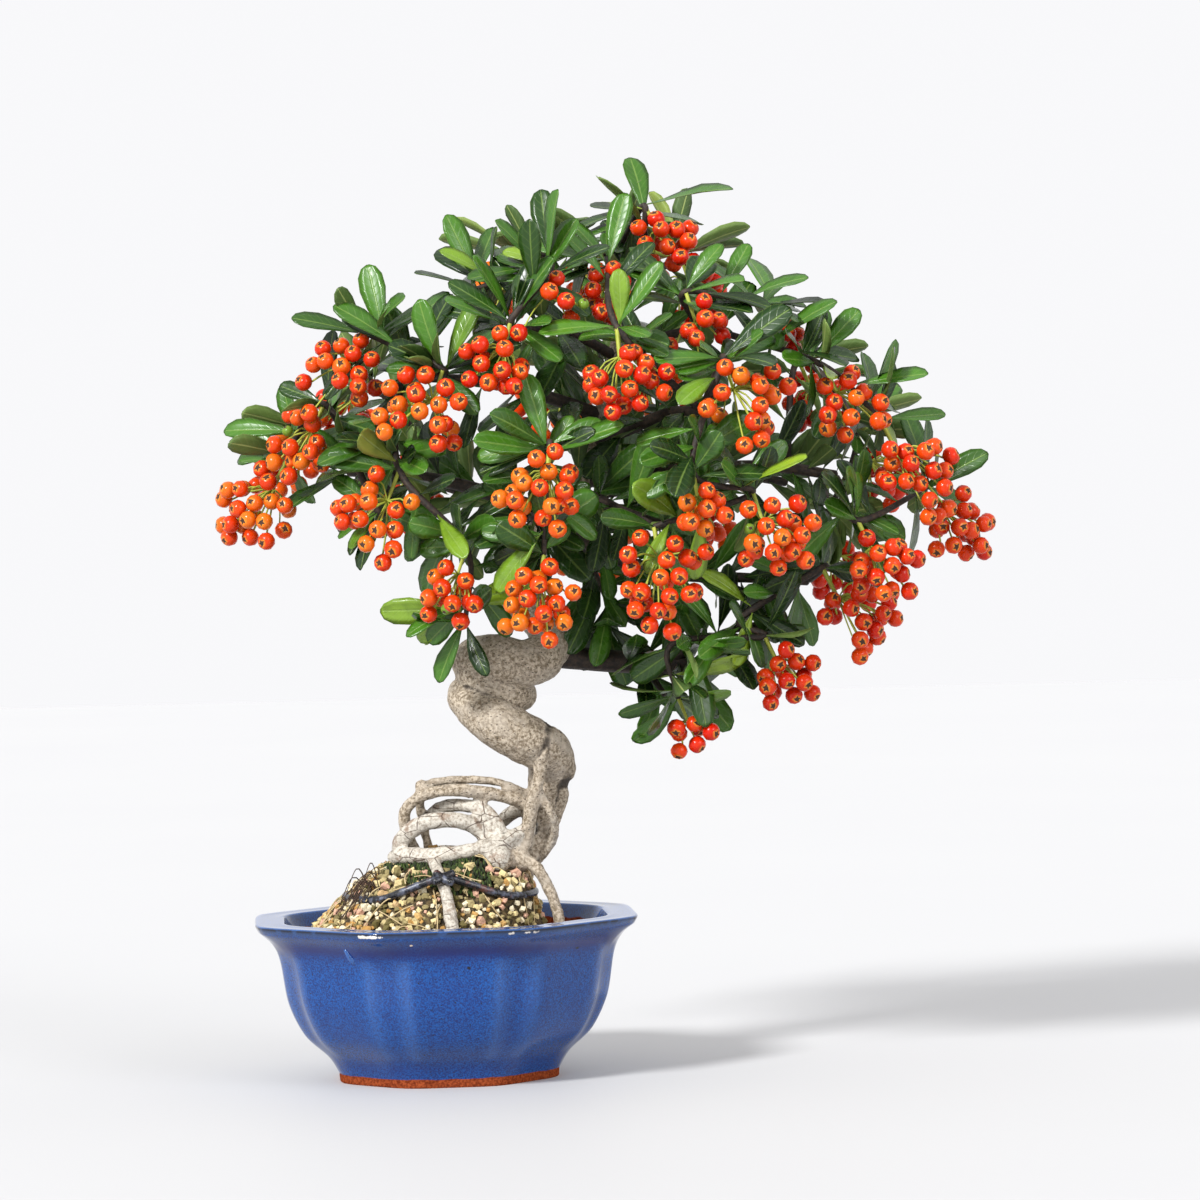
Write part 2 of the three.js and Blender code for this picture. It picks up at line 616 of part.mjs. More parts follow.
function bladesApart(one, other) {
  return feelers(one).every((p) => clearOf(p, bladeTriangles(other), BLADES_APART))
    && feelers(other).every((p) => clearOf(p, bladeTriangles(one), BLADES_APART));
}

function bladeFits(leaf, rosette, sites, obstacles) {
  const outline = bladeOutline(leaf);
  const inCell = outline.every((p) => sites.every((site) => {
    if (site === rosette.site) return true;
    const apart = site.distanceTo(rosette.site);
    return p.distanceToSquared(site) - p.distanceToSquared(rosette.site) > 2 * apart * LEAF_CLEAR;
  }));
  if (!inCell) return false;
  const faces = bladeTriangles(outline);
  if (rosette.radius > 0 && !clearOf(rosette.bunch, faces, rosette.radius + LEAF_CLEAR)) return false;
  if (!rosette.leaves.every((other) => bladesApart(outline, bladeOutline(other)))) return false;
  return obstacles.every((bead) => clearOf(bead.at, faces, bead.radius + LEAF_CLEAR));
}

function leafAt(rosette, along, length, draw) {
  const light = rosette.outward.clone().multiplyScalar(LIGHT_OUT).add(vector(0, 0, LIGHT_UP));
  const upper = perpendicularTo(along, light);
  const span = rosette.twigWay.length();
  const depth = Math.min(ROSETTE_DEPTH, DEEPEST_ROOT * span);
  const back = Math.min(depth, (depth * rosette.leaves.length) / LEAVES_ALONE);
  return {
    root: rosette.hub.clone()
      .addScaledVector(rosette.twigWay, -back / span)
      .addScaledVector(upper, ROOT_HEIGHT),
    along,
    upper,
    length,
    width: length * THREE.MathUtils.lerp(...LEAF_WIDTH_SHARE, draw()),
    arch: THREE.MathUtils.lerp(...LEAF_ARCH, draw()),
  };
}

function bunchCone(rosette) {
  return THREE.MathUtils.radToDeg(Math.asin(rosette.radius / (rosette.radius + STALK)));
}

function placeLeaves(rosette, seed, sites, obstacles) {
  const draw = seeded(seed);
  const turned = draw() * 360;
  const apartCosine = Math.cos(radians(LEAF_SPREAD));
  const wanted = (rosette.radius > 0 ? LEAVES_WITH_BUNCH : LEAVES_ALONE) + rosette.tips.length;
  const tryLeaf = (along, length) => {
    const leaf = leafAt(rosette, along, length, draw);
    if (rosette.leaves.some((other) => other.along.dot(along) > apartCosine)) return;
    for (const share of LEAF_SHRINK) {
      leaf.length = length * share;
      if (bladeFits(leaf, rosette, sites, obstacles)) {
        rosette.leaves.push(leaf);
        return;
      }
    }
  };
  for (const tip of rosette.tips) {
    const along = tip.clone().sub(rosette.hub);
    const length = Math.min(along.length(), LONGEST_TIP);
    tryLeaf(along.normalize(), length);
  }
  const alongTwig = Math.cos(radians(LEAF_OFF_TWIG)) * rosette.twigWay.length();
  const nearest = rosette.radius > 0 ? Math.cos(radians(bunchCone(rosette) + BUNCH_MARGIN)) : 1;
  for (let i = 0; i < LEAF_TRIES && rosette.leaves.length < wanted; i++) {
    const share = (i * GOLDEN_SHARE) % 1;
    const cosine = THREE.MathUtils.lerp(nearest, FURTHEST_COSINE, share);
    const angle = THREE.MathUtils.radToDeg(Math.acos(cosine));
    const along = around(rosette.axis, angle, turned + i * GOLDEN_ANGLE);
    const length = THREE.MathUtils.lerp(...LEAF_LENGTH, draw());
    const offTwig = Math.abs(along.dot(rosette.twigWay)) < alongTwig;
    if (offTwig && along.dot(rosette.outward) > INWARDMOST) tryLeaf(along, length);
  }
}

// The three axes of a bunch's core, at right angles to each other and leaning evenly round its middle line.
function coreAxes(axis, turned) {
  return [0, 120, 240].map((turn) => around(axis, CORE_ANGLE, turned + turn));
}

function cornerWay(axes, signs) {
  return axes.reduce((sum, way, i) => sum.addScaledVector(way, signs[i]), vector(0, 0, 0)).normalize();
}

function placeBerries(rosette, seed, sites, obstacles) {
  const draw = seeded(seed);
  rosette.axes = coreAxes(rosette.axis, draw() * 120);
  const fits = (at) => {
    const inCell = sites.every((site) => {
      if (site === rosette.site) return true;
      const apart = site.distanceTo(rosette.site);
      return at.distanceToSquared(site) - at.distanceToSquared(rosette.site)
        > 2 * apart * (BERRY_RADIUS + BERRY_CLEAR);
    });
    return inCell
      && rosette.berries.every((berry) => berry.at.distanceTo(at) > 2 * BERRY_RADIUS + GAP)
      && obstacles.every((bead) => bead.at.distanceTo(at) > bead.radius + BERRY_RADIUS + BERRY_CLEAR);
  };
  for (const signs of CUBE_CORNERS.slice(0, 7)) {
    const along = cornerWay(rosette.axes, signs);
    const at = rosette.bunch.clone().addScaledVector(along, rosette.radius - BERRY_RADIUS);
    if (fits(at)) rosette.berries.push({ at, along, signs });
  }
}

function layCrown() {
  const twigs = layTwigs();
  const rosettes = twigs.flatMap((twig) => twig.rosettes);
  const sites = rosettes.map((rosette) => rosette.site);
  for (const [x, y, z] of LEAF_TIPS) {
    const tip = vector(x, y, z);
    const nearest = rosettes.reduce((best, rosette) => (
      rosette.hub.distanceTo(tip) < best.hub.distanceTo(tip) ? rosette : best));
    nearest.tips.push(tip);
  }
  const wood = [...Object.values(COIL), ...Object.values(BRANCHES), LEADER];
  const allBeads = wood.flatMap((stops) => beads(stops));
  twigs.forEach((twig) => {
    twig.rosettes.forEach((rosette) => {
      rosette.twig = twig.name;
    });
    allBeads.push(...twig.beads.map((bead) => ({ ...bead, twig: twig.name })));
  });
  rosettes.forEach((rosette, index) => {
    const reach = LONGEST_TIP + ROSETTE_DEPTH;
    const near = allBeads.filter((bead) => {
      const away = bead.at.distanceTo(rosette.hub);
      return away < reach && (away > ROOT_ROOM || bead.twig !== rosette.twig);
    });
    const stalk = rosette.radius > 0 ? STALK_BEADS.map(([share, radius]) => (
      { at: rosette.hub.clone().lerp(rosette.bunch, share), radius: radius * rosette.radius })) : [];
    placeLeaves(rosette, index, sites, [...near, ...stalk]);
    if (rosette.radius > 0) placeBerries(rosette, index + 500, sites, near);
  });
  return twigs;
}

// Crown: its solids

function bladeSolid(leaf) {
  const outline = bladeOutline(leaf);
  const count = outline.length;
  const half = LEAF_THICKNESS / 2;
  const shift = (distance) => outline.map((p) => p.clone().addScaledVector(leaf.upper, distance));
  const faces = LEAF_FACES.flatMap(([a, b, c]) => [[a, b, c], [count + a, count + c, count + b]]);
  for (let i = 0; i < count; i++) {
    const next = (i + 1) % count;
    faces.push([i, count + i, count + next], [i, count + next, next]);
  }
  return solidOf(geometryOf([...shift(half), ...shift(-half)], faces));
}

// The same stops with one more on the curve halfway along each span.
function halved(stops) {
  const curve = curveThrough(stops);
  const spans = stops.length - 1;
  return stops.flatMap((stop, i) => {
    const t = (i + 0.5) / spans;
    return i < spans ? [stop, [...curve.getPoint(t).toArray(), radiusAt(stops, t)]] : [stop];
  });
}

function makeLeaves(twig) {
  const blades = twig.rosettes.flatMap((rosette) => rosette.leaves.map(bladeSolid));
  return joined([limb(halved(twig.stops), SHOOT_SIDES, 1000), ...blades]);
}

// Faces of a berry, without its near one. corner(level, k) gives a corner's place in the list of points.
function berryFaces(corner, tip) {
  return [0, 1, 2].flatMap((k) => {
    const next = (k + 1) % 3;
    const before = (k + 2) % 3;
    return [
      [corner(0, k), corner(0, next), corner(1, k)],
      [corner(0, k), corner(1, k), corner(2, k)],
      [corner(0, k), corner(2, k), corner(1, before)],
      [corner(1, k), tip, corner(2, k)],
      [corner(1, k), corner(2, next), tip],
    ];
  });
}

// One body: the core, and on each of its eight faces a berry with its neck, the stalk, or nothing.
function makeBerries(rosette) {
  const { axes, axis, bunch, radius, hub } = rosette;
  const nearFace = radius - BERRY_RADIUS * (1 - BERRY_LEVELS[0][0]);
  const reach = Math.min(radius * CORE_SHARE, nearFace * CORE_REACH);
  const points = [];
  const faces = [];
  const ring = (middle, way, level, first) => {
    const other = way.clone().cross(first);
    const [height, out, turn] = level;
    return [0, 120, 240].map((more) => points.push(middle.clone()
      .addScaledVector(way, height)
      .addScaledVector(first, out * Math.cos(radians(turn + more)))
      .addScaledVector(other, out * Math.sin(radians(turn + more)))) - 1);
  };
  const band = (low, high) => [0, 1, 2].forEach((k) => {
    const next = (k + 1) % 3;
    faces.push([low[k], low[next], high[next]], [low[k], high[next], high[k]]);
  });
  for (const signs of CUBE_CORNERS) {
    const way = cornerWay(axes, signs);
    const ends = axes.map((end, i) => end.clone().multiplyScalar(signs[i]));
    if (signs[0] * signs[1] * signs[2] < 0) ends.reverse();
    const first = perpendicularTo(way, ends[0]);
    const base = ends.map((end) => points.push(bunch.clone().addScaledVector(end, reach)) - 1);
    const berry = rosette.berries.find((one) => one.signs === signs);
    if (berry) {
      const levels = BERRY_LEVELS.map(([height, out, turn]) => (
        ring(berry.at, way, [height * BERRY_RADIUS, out * BERRY_RADIUS, turn], first)));
      const tip = points.push(berry.at.clone().addScaledVector(way, BERRY_RADIUS)) - 1;
      band(base, levels[0]);
      faces.push(...berryFaces((level, k) => levels[level][k], tip));
    } else if (way.dot(axis) < -0.99) {
      const neck = ring(bunch, way, [radius * CORE_SHARE, STALK_RADIUS, 0], first);
      const foot = points.push(hub.clone().addScaledVector(axis, STALK_FOOT)) - 1;
      band(base, neck);
      neck.forEach((p, k) => faces.push([p, neck[(k + 1) % 3], foot]));
    } else {
      faces.push(base);
    }
  }
  return solidOf(geometryOf(points, faces));
}

// Assembly

const bonsai = new THREE.Group();

function addPiece(name, kind, solid) {
  const { vertProperties, triVerts } = solid.simplify(SMALLEST_EDGE).getMesh();
  const geometry = new THREE.BufferGeometry();
  geometry.setAttribute("position", new THREE.BufferAttribute(new Float32Array(vertProperties), 3));
  geometry.setIndex(new THREE.BufferAttribute(new Uint32Array(triVerts), 1));
  const [color, roughness] = COLOURS[kind];
  const material = new THREE.MeshStandardMaterial({ color, roughness, flatShading: true });
  const mesh = new THREE.Mesh(geometry, material);
  mesh.name = name;
  bonsai.add(mesh);
}

const clearWood = [...coilLimbs(GAP), ...rootLimbs(GAP)];
addPiece("pot", "pot", makePot());
addPiece("drain_mesh", "drain_mesh", makeDrainMesh());
addPiece("tie", "tie", joined(tieLimbs(0)));
addPiece("soil", "soil", makeSoil([...clearWood, ...tieLimbs(GAP)]));
addPiece("trunk", "trunk", makeTrunk());
for (const twig of layCrown()) {
  addPiece("leaves_" + twig.name, "leaves", makeLeaves(twig));
  twig.rosettes.forEach((rosette, i) => {
    if (rosette.berries.length === 0) return;
    addPiece("berries_" + twig.name + "_" + (i + 1), "berries", makeBerries(rosette));
  });
}

const bounds = new THREE.Box3().setFromObject(bonsai);
const middle = bounds.getCenter(vector(0, 0, 0));
for (const piece of bonsai.children) piece.geometry.translate(-middle.x, -middle.y, -bounds.min.z);

export default bonsai;
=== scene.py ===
# %% [markdown]
# # A pyracantha bonsai in a glazed pot
# The real tree is about 350 mm tall, pot included. A plain solid model of it is already made, and this
# lesson dresses that model: a glazed pot, a coiled trunk on looping roots, a crown of leathery leaves and
# bunches of orange-red berries. Everything is kept in the model's own frame, so nothing has to be fitted.

# %% Load the model
import math

import bpy
import numpy as np
from mathutils import Matrix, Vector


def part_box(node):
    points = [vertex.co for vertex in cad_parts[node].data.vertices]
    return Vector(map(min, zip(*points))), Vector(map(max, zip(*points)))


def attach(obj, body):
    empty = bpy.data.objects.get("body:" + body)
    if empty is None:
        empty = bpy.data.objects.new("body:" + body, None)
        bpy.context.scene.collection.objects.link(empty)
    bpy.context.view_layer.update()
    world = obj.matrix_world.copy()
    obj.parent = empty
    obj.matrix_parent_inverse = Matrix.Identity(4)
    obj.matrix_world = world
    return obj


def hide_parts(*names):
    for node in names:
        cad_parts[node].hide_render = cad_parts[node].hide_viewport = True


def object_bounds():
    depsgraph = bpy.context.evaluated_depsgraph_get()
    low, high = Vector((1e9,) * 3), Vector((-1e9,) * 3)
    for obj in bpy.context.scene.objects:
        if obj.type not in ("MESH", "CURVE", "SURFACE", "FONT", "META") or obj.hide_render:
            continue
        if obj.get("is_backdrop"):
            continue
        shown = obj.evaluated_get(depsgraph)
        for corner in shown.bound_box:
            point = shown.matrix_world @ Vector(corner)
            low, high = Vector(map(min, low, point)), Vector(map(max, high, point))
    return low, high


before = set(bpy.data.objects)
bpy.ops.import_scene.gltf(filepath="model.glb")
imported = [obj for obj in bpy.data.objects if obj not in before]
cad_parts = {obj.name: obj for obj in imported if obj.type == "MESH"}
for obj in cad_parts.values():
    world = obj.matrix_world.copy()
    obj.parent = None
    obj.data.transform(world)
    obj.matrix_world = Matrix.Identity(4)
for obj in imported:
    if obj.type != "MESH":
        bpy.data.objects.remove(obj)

CAD_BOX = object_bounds()
print("model box, mm:", [[round(value * 1000, 1) for value in corner] for corner in CAD_BOX])

# %% [markdown]
# ## Millimetres round the pot
# A grower measures a bonsai from the middle of its pot. The tables below do the same, in millimetres: x to
# the right of the tree's front, y to its back, z up. One function turns such places into the frame's metres.

# %% Places
POT_LOW, POT_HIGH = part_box("pot")
POT_MIDDLE = np.array([(POT_LOW.x + POT_HIGH.x) / 2, (POT_LOW.y + POT_HIGH.y) / 2, 0.0])


def in_frame(places):
    """Places in millimetres from the pot's middle as metres in the frame."""
    return np.asarray(places, float)[..., :3] / 1000 + POT_MIDDLE


print("middle of the pot, mm:", np.round(POT_MIDDLE * 1000, 2))

# %% [markdown]
# ## The tree's own lines
# Wire-trained wood is a set of smooth curves, so each limb is a short list of stops: x, y, z and radius.
# The coil is one stem that was wound round itself twice. The roots loop over the mound and into each other.

# %% Wood
COIL = {
    "foot": [[32, 2, 80, 4.5], [35, 2, 90, 5.2], [38, 3, 103, 6.2], [42, 4, 116, 7.6], [43, 1, 127, 9]],
    "lower": [[46, 5, 119, 8.4], [42, -2, 129, 10.2], [32, -9, 135, 10.2], [22, -11, 141, 9.8],
        [13, -6, 148, 8.6]],
    "turn": [[17, -9, 145, 8.4], [11, 0, 151, 8.4], [15, 9, 156, 7.6], [24, 11, 156, 7], [32, 5, 153, 6.6]],
    "middle": [[34, 1, 151, 6.4], [29, -5, 152, 7.4], [22, -7, 155, 7.6], [14, -4, 160, 7.2],
        [12, 2, 163, 6.8]],
    "upper": [[12, 4, 162, 7], [14, -4, 166, 8.6], [23, -9, 167, 9.4], [34, -10, 164, 9.6],
        [43, -4, 167, 9.4]],
    "crook": [[40, -7, 165, 8.8], [45, 1, 172, 9.2], [42, 8, 181, 8.8], [33, 11, 188, 8],
        [30, 8, 197, 7.4]],
}

LEADER = [
    [36, 11, 186, 8], [30, 9, 194, 7.6], [33, 5, 206, 6.8], [46, 3, 222, 5.8], [60, 5, 240, 5],
    [67, 4, 256, 4.2], [70, 0, 274, 3.4], [76, 0, 296, 2.6], [84, 2, 316, 1.9],
]

ROOTS = {
    "strand_left": [[42.5, -4.5, 139.2, 2.3], [41.8, -9.6, 136.4, 2.5], [41, -12.4, 131, 2.6],
        [39, -11, 119, 2.6], [36, -9, 108, 2.8], [33, -6, 92, 3.2]],
    "strand_right": [[44, -2, 138, 3], [46, -4, 129, 3.4], [48, 1, 118, 3.8], [46, 4, 106, 3.6],
        [38, 5, 90, 3.4]],
    "strand_thin": [[38, -9, 114, 1.9], [43, -9, 105, 1.9], [45, -5, 98, 1.9], [42, 0, 90, 2],
        [33, 3, 80, 2.2]],
    "loop_top": [[36, 2, 110, 2.2], [25, -2, 116, 1.8], [11, -4, 118, 1.8], [-4, -4, 117, 2],
        [-9, 1, 110, 2], [-8, 5, 100, 2], [-5, 6, 86, 2.2]],
    "loop_low": [[36, -1, 107, 3.4], [26, -6, 111, 2.8], [12, -10, 114, 2.6], [-2, -10, 114, 2.6],
        [-13, -6, 109, 2.6], [-15, -3, 100, 2.6], [-10, 0, 86, 2.8]],
    "loop_inner": [[-8, 3, 100, 2.4], [-1, -2, 107, 2.6], [9, -6, 108, 2.8], [18, -9, 105, 3],
        [23, -10, 97, 3.2], [25, -7, 86, 3.4]],
    "loop_white": [[-17, -4, 84, 3], [-17, -8, 94, 3.2], [-9, -12, 101, 3.4], [1, -14, 103, 3.4],
        [11, -12, 101, 3.4], [18, -9, 94, 3.4], [21, -7, 84, 3.4]],
    "base_ring": [[-20, -5, 88, 3], [-15, -12, 89, 3.2], [-5, -16, 89, 3.2], [7, -17, 90, 3.2],
        [17, -15, 92, 3.2], [27, -10, 95, 3.2], [35, -3, 98, 3]],
    "loop_behind": [[36, 5, 108, 3.4], [28, 8, 104, 3.2], [20, 10, 97, 3], [12, 9, 86, 3]],
    "back_root": [[34, 6, 92, 3], [24, 16, 90, 2.8], [8, 20, 88, 2.8], [-6, 16, 88, 2.6],
        [-14, 6, 86, 2.6]],
    "right_root": [[29, -10, 88, 3], [37, -12, 83, 2.6], [43, -13, 72, 2.4], [46, -14, 60, 2.2],
        [46, -14, 46, 2]],
    "front_root": [[-4, -17, 88, 2.4], [-1, -27, 82, 2.4], [2, -36, 74, 2.6], [4, -43, 63, 2.8],
        [6, -48, 50, 2.8]],
}

KNOBS = [
    [22, -15, 87, 6.2], [30, -9, 86, 5.6], [-8, -6, 116, 3.2],
]

BRANCHES = {
    "sawn": [[44, 4, 168, 6], [58, 6, 165, 4.6], [78, 5, 163, 4.4], [100, 2, 162, 4.6]],
    "sawn_twig": [[76, 4, 163, 2], [84, 0, 158, 1.5], [90, -4, 150, 1.2]],
    "sawn_shoot": [[92, 2, 163, 2], [104, -4, 170, 1.7], [120, -8, 176, 1.5], [140, -10, 178, 1.3]],
    "front_high": [[66, 3, 252, 3], [80, -14, 257, 2.6], [94, -34, 262, 2.2], [106, -54, 262, 1.8]],
    "front_low": [[52, 3, 230, 3.2], [62, -20, 230, 2.6], [74, -44, 224, 2.2], [90, -60, 218, 1.8]],
    "front_middle": [[44, 2, 219, 3], [40, -18, 222, 2.4], [40, -38, 222, 2], [42, -58, 220, 1.7]],
    "right_main": [[58, 5, 237, 3.8], [80, 6, 238, 3.2], [108, 2, 240, 2.8], [136, -4, 240, 2.4],
        [160, -8, 236, 2]],
    "right_low": [[48, 3, 221, 3.4], [70, -2, 206, 2.8], [96, -6, 198, 2.4], [124, -6, 196, 2],
        [148, -4, 194, 1.7]],
    "left_main": [[48, 3, 223, 3.6], [28, -4, 230, 3], [6, -8, 237, 2.6], [-16, -8, 241, 2.2],
        [-34, -4, 242, 1.8]],
    "left_high": [[68, 3, 262, 3], [46, -8, 270, 2.6], [24, -16, 276, 2.2], [4, -24, 278, 1.8],
        [-12, -28, 278, 1.6]],
    "crest": [[73, 0, 286, 2.4], [62, -12, 292, 2], [50, -24, 296, 1.7], [40, -34, 296, 1.5]],
    "crest_right": [[72, 0, 282, 2.6], [86, -12, 290, 2.1], [100, -22, 294, 1.8], [114, -26, 294, 1.5]],
    "back_high": [[69, 2, 268, 2.8], [70, 20, 276, 2.3], [68, 38, 282, 1.9], [66, 52, 288, 1.6]],
    "back_low": [[56, 5, 234, 3.2], [62, 28, 240, 2.6], [70, 50, 240, 2.1], [76, 66, 238, 1.8]],
    "back_left": [[44, 4, 220, 3], [24, 22, 228, 2.4], [2, 36, 236, 2], [-16, 42, 240, 1.7]],
    "back_right": [[64, 4, 246, 3], [92, 20, 240, 2.5], [120, 32, 238, 2.1], [142, 38, 234, 1.8]],
}
print("limbs:", len(COIL) + 1 + len(ROOTS) + len(BRANCHES))

# %% [markdown]
# ## Curves and beads
# A limb's stops are joined by the same smooth curve that the solid model uses, so that the finer wood lies
# exactly over it. For distance tests a limb is a string of beads, which is quick and close enough.

# %% Curves
def on_curve(stops, t):
    """The place and radius at t, from 0 to 1, on the smooth curve through the stops."""
    stops = np.asarray(stops, float)
    last = len(stops) - 1
    at = t * last
    span = min(int(at), last - 1)
    share = at - span
    b, c = stops[span, :3], stops[span + 1, :3]
    a = stops[span - 1, :3] if span > 0 else 2 * b - c
    d = stops[span + 2, :3] if span + 2 <= last else 2 * c - b
    start, end = (c - a) / 2, (d - b) / 2
    place = (b + start * share + (3 * (c - b) - 2 * start - end) * share ** 2
             + (2 * (b - c) + start + end) * share ** 3)
    radius = stops[span, 3] + (stops[span + 1, 3] - stops[span, 3]) * share if stops.shape[1] > 3 else 0
    return np.append(place, radius)


def along_curve(stops, count_of):
    """Points on the curve. count_of says how many a span gets, from the length of its chord."""
    spans = len(stops) - 1
    made = []
    for span in range(spans):
        count = count_of(math.dist(stops[span][:3], stops[span + 1][:3]))
        made += [on_curve(stops, (span + i / count) / spans) for i in range(count)]
    return np.array(made + [on_curve(stops, 1.0)])


def beads(stops, apart=2.5):
    """Points for distance tests, no further apart than this."""
    return along_curve(stops, lambda chord: math.ceil(chord / apart))


def limb_path(stops, apart=1.8):
    """Points for a visible limb, at least two to a span."""
    return along_curve(stops, lambda chord: max(2, round(chord / apart)))


BLUNT_SHARE = 0.45


def blunt(path):
    """The path with both ends rounded off, by two narrower stops beyond each."""
    def cap(end, before):
        way = end[:3] - before[:3]
        way = way / np.linalg.norm(way)
        return [[*(end[:3] + way * end[3] * BLUNT_SHARE / 2), end[3] * 0.85],
                [*(end[:3] + way * end[3] * BLUNT_SHARE), end[3] * 0.45]]

    path = np.asarray(path, float)
    return np.array([*cap(path[0], path[1])[::-1], *path, *cap(path[-1], path[-2])])


WOOD_BEADS = np.vstack([beads(stops) for stops in [*COIL.values(), *BRANCHES.values(), LEADER]])
print("beads along the wood:", len(WOOD_BEADS))

# %% [markdown]
# ## The crown's plan
# On a pyracantha the leaves and berries sit together in rosettes along each twig. A rosette is planned from
# its bunch: the middle of the bunch and its radius. The stalk hangs down and a little outwards. A rosette
# without berries has its own place and a radius of 0. Single leaves that reach out furthest are planned by
# their tips.

# %% Twigs
CROWN_MIDDLE = np.array([66.0, 0, 235])
TWIGS = {
    "left_tip": [[-21, -38, 226, 0], [-50, -28, 252, 13], [-68, -10, 228, 16], [-60, 30, 244, 13]],
    "left_low": [[-20, -58, 222, 16], [8, -62, 195, 12], [12, -34, 182, 0]],
    "left_high": [[-1, -70, 259, 18], [-33, -38, 276, 16]],
    "left_back": [[-12, 66, 233, 15], [-38, 48, 264, 15]],
    "crest_left": [[29, -74, 281, 13], [46, -62, 300, 17], [17, -28, 312, 0]],
    "crest_middle": [[75, -84, 275, 16], [72, -46, 307, 12]],
    "crown": [[94, -12, 329, 12], [76, 14, 329, 0]],
    "crest_right": [[107, -60, 288, 17], [142, -26, 290, 8]],
    "crest_back": [[107, 50, 310, 15], [68, 62, 311, 15], [27, 36, 311, 14]],
    "front": [[120, -86, 261, 17], [104, -98, 223, 11], [130, -88, 211, 15], [89, -86, 197, 17]],
    "right_high": [[163, -42, 261, 14], [187, -36, 236, 18]],
    "right_tip": [[174, -54, 200, 14], [206, -16, 213, 14]],
    "right_low": [[163, -26, 179, 17], [120, -24, 180, 0], [137, -28, 157, 12], [93, -30, 171, 0],
        [100, -30, 136, 9]],
    "right_back": [[157, 52, 265, 15], [180, 36, 234, 15], [164, 54, 195, 15]],
    "middle": [[45, -92, 232, 15], [41, -78, 190, 14]],
    "back": [[50, 86, 263, 16], [88, 88, 270, 15], [108, 86, 221, 15], [66, 80, 210, 16]],
}

LEAF_TIPS = [
    [121, -16, 355], [94, -12, 352], [66, -6, 349], [115, -30, 331], [131, 6, 329], [71, -30, 335],
    [26, -20, 339], [42, 0, 328], [-5, -40, 322], [-5, -66, 306], [-48, -30, 291], [-61, -20, 277],
    [224, -12, 225], [209, -40, 215], [159, -30, 152], [118, -40, 150], [141, -20, 138], [72, -30, 142],
    [84, -24, 140], [61, 10, 145], [-24, -60, 187], [-15, -44, 168], [-1, -36, 158], [8, -44, 155],
    [158, -60, 275], [203, -20, 247], [-77, -10, 249], [53, -40, 327], [148, 0, 306],
]
print("twigs:", len(TWIGS), " rosettes:", sum(map(len, TWIGS.values())))

# %% Directions
UP = np.array([0.0, 0, 1])


def unit(way):
    return way / np.linalg.norm(way)


def draws(seed):
    """Repeatable draws between 0 and 1. Each use has a seed of its own."""
    factor, prime = 16807, 2147483647
    state = 1000 + 7919 * (seed + 1)

    def draw():
        nonlocal state
        state = state * factor % prime
        return state / prime
    return draw


def between(ends, share):
    return ends[0] + (ends[1] - ends[0]) * share


def square_to(axis, hint):
    """A direction at right angles to the axis, as near to the hint as it can be."""
    side = hint - axis * hint.dot(axis)
    if side.dot(side) > 0.01:
        return unit(side)
    return square_to(axis, np.array([hint[1], hint[2], hint[0] + 1]))


def around(axis, angle, turn):
    """The direction at an angle from the axis and a turn about it, in degrees."""
    side = square_to(axis, UP)
    other = np.cross(axis, side)
    angle, turn = math.radians(angle), math.radians(turn)
    return axis * math.cos(angle) + math.sin(angle) * (side * math.cos(turn) + other * math.sin(turn))


print("one draw:", round(draws(0)(), 4))

# %% Rosettes
STALK = 6
HANG_LEAN = 0.5
ROOM_SHARE = 0.4
TWIG_RADII = [1.6, 1.1]
# Share of the way from the hub to the bunch, and share of the bunch's radius, of each bead of a stalk.
STALK_BEADS = [[0.35, 0.1], [0.6, 0.22]]


def rosette_of(row, twig):
    given, radius = np.array(row[:3], float), row[3]
    outwards = unit((given - CROWN_MIDDLE) * [1, 1, 0])
    axis = unit(outwards * HANG_LEAN - UP)
    hub = given - axis * (radius + STALK) if radius else given
    return {"twig": twig, "hub": hub, "site": hub + (given - hub) * ROOM_SHARE, "axis": axis,
            "radius": radius, "bunch": given, "outward": unit(hub - CROWN_MIDDLE), "leaves": [],
            "berries": [], "tips": []}


def twig_path(rosettes, bearing):
    """From just off the nearest bearing limb, along the rosettes."""
    start = rosettes[0]["hub"]
    near = bearing[np.argmin(np.linalg.norm(bearing[:, :3] - start, axis=1))]
    foot = near[:3] + unit(start - near[:3]) * (near[3] + 0.3 + TWIG_RADII[0] * 0.6)
    places = [foot] + [rosette["hub"] for rosette in rosettes]
    return [[*place, between(TWIG_RADII, i / (len(places) - 1))] for i, place in enumerate(places)]


BEARING = np.vstack([beads(stops) for stops in [LEADER, *BRANCHES.values()]])
ROSETTES, TWIG_STOPS = [], {}
for name, rows in TWIGS.items():
    own = [rosette_of(row, name) for row in rows]
    TWIG_STOPS[name] = twig_path(own, BEARING)
    for i, rosette in enumerate(own):
        rosette["way"] = rosette["hub"] - on_curve(TWIG_STOPS[name], (i + 0.5) / len(own))[:3]
    ROSETTES += own
TWIG_BEADS = {name: beads(stops, 1.5) for name, stops in TWIG_STOPS.items()}
SITES = np.array([rosette["site"] for rosette in ROSETTES])
for tip in LEAF_TIPS:
    nearest = min(ROSETTES, key=lambda rosette: math.dist(rosette["hub"], tip))
    nearest["tips"].append(np.array(tip, float))
print("longest twig, mm:", round(max(
    sum(math.dist(a[:3], b[:3]) for a, b in zip(path, path[1:])) for path in TWIG_BEADS.values())))

# %% [markdown]
# ## Where the leaves go
# Leaves take turns round a twig by the golden angle, and each looks for light: it is kept only if it clears
# the wood, its own bunch and its neighbours. The solid model stops at four to six leaves a rosette, and the
# same rule gives exactly those leaves here. Later the rule goes on, because a real rosette has about ten.

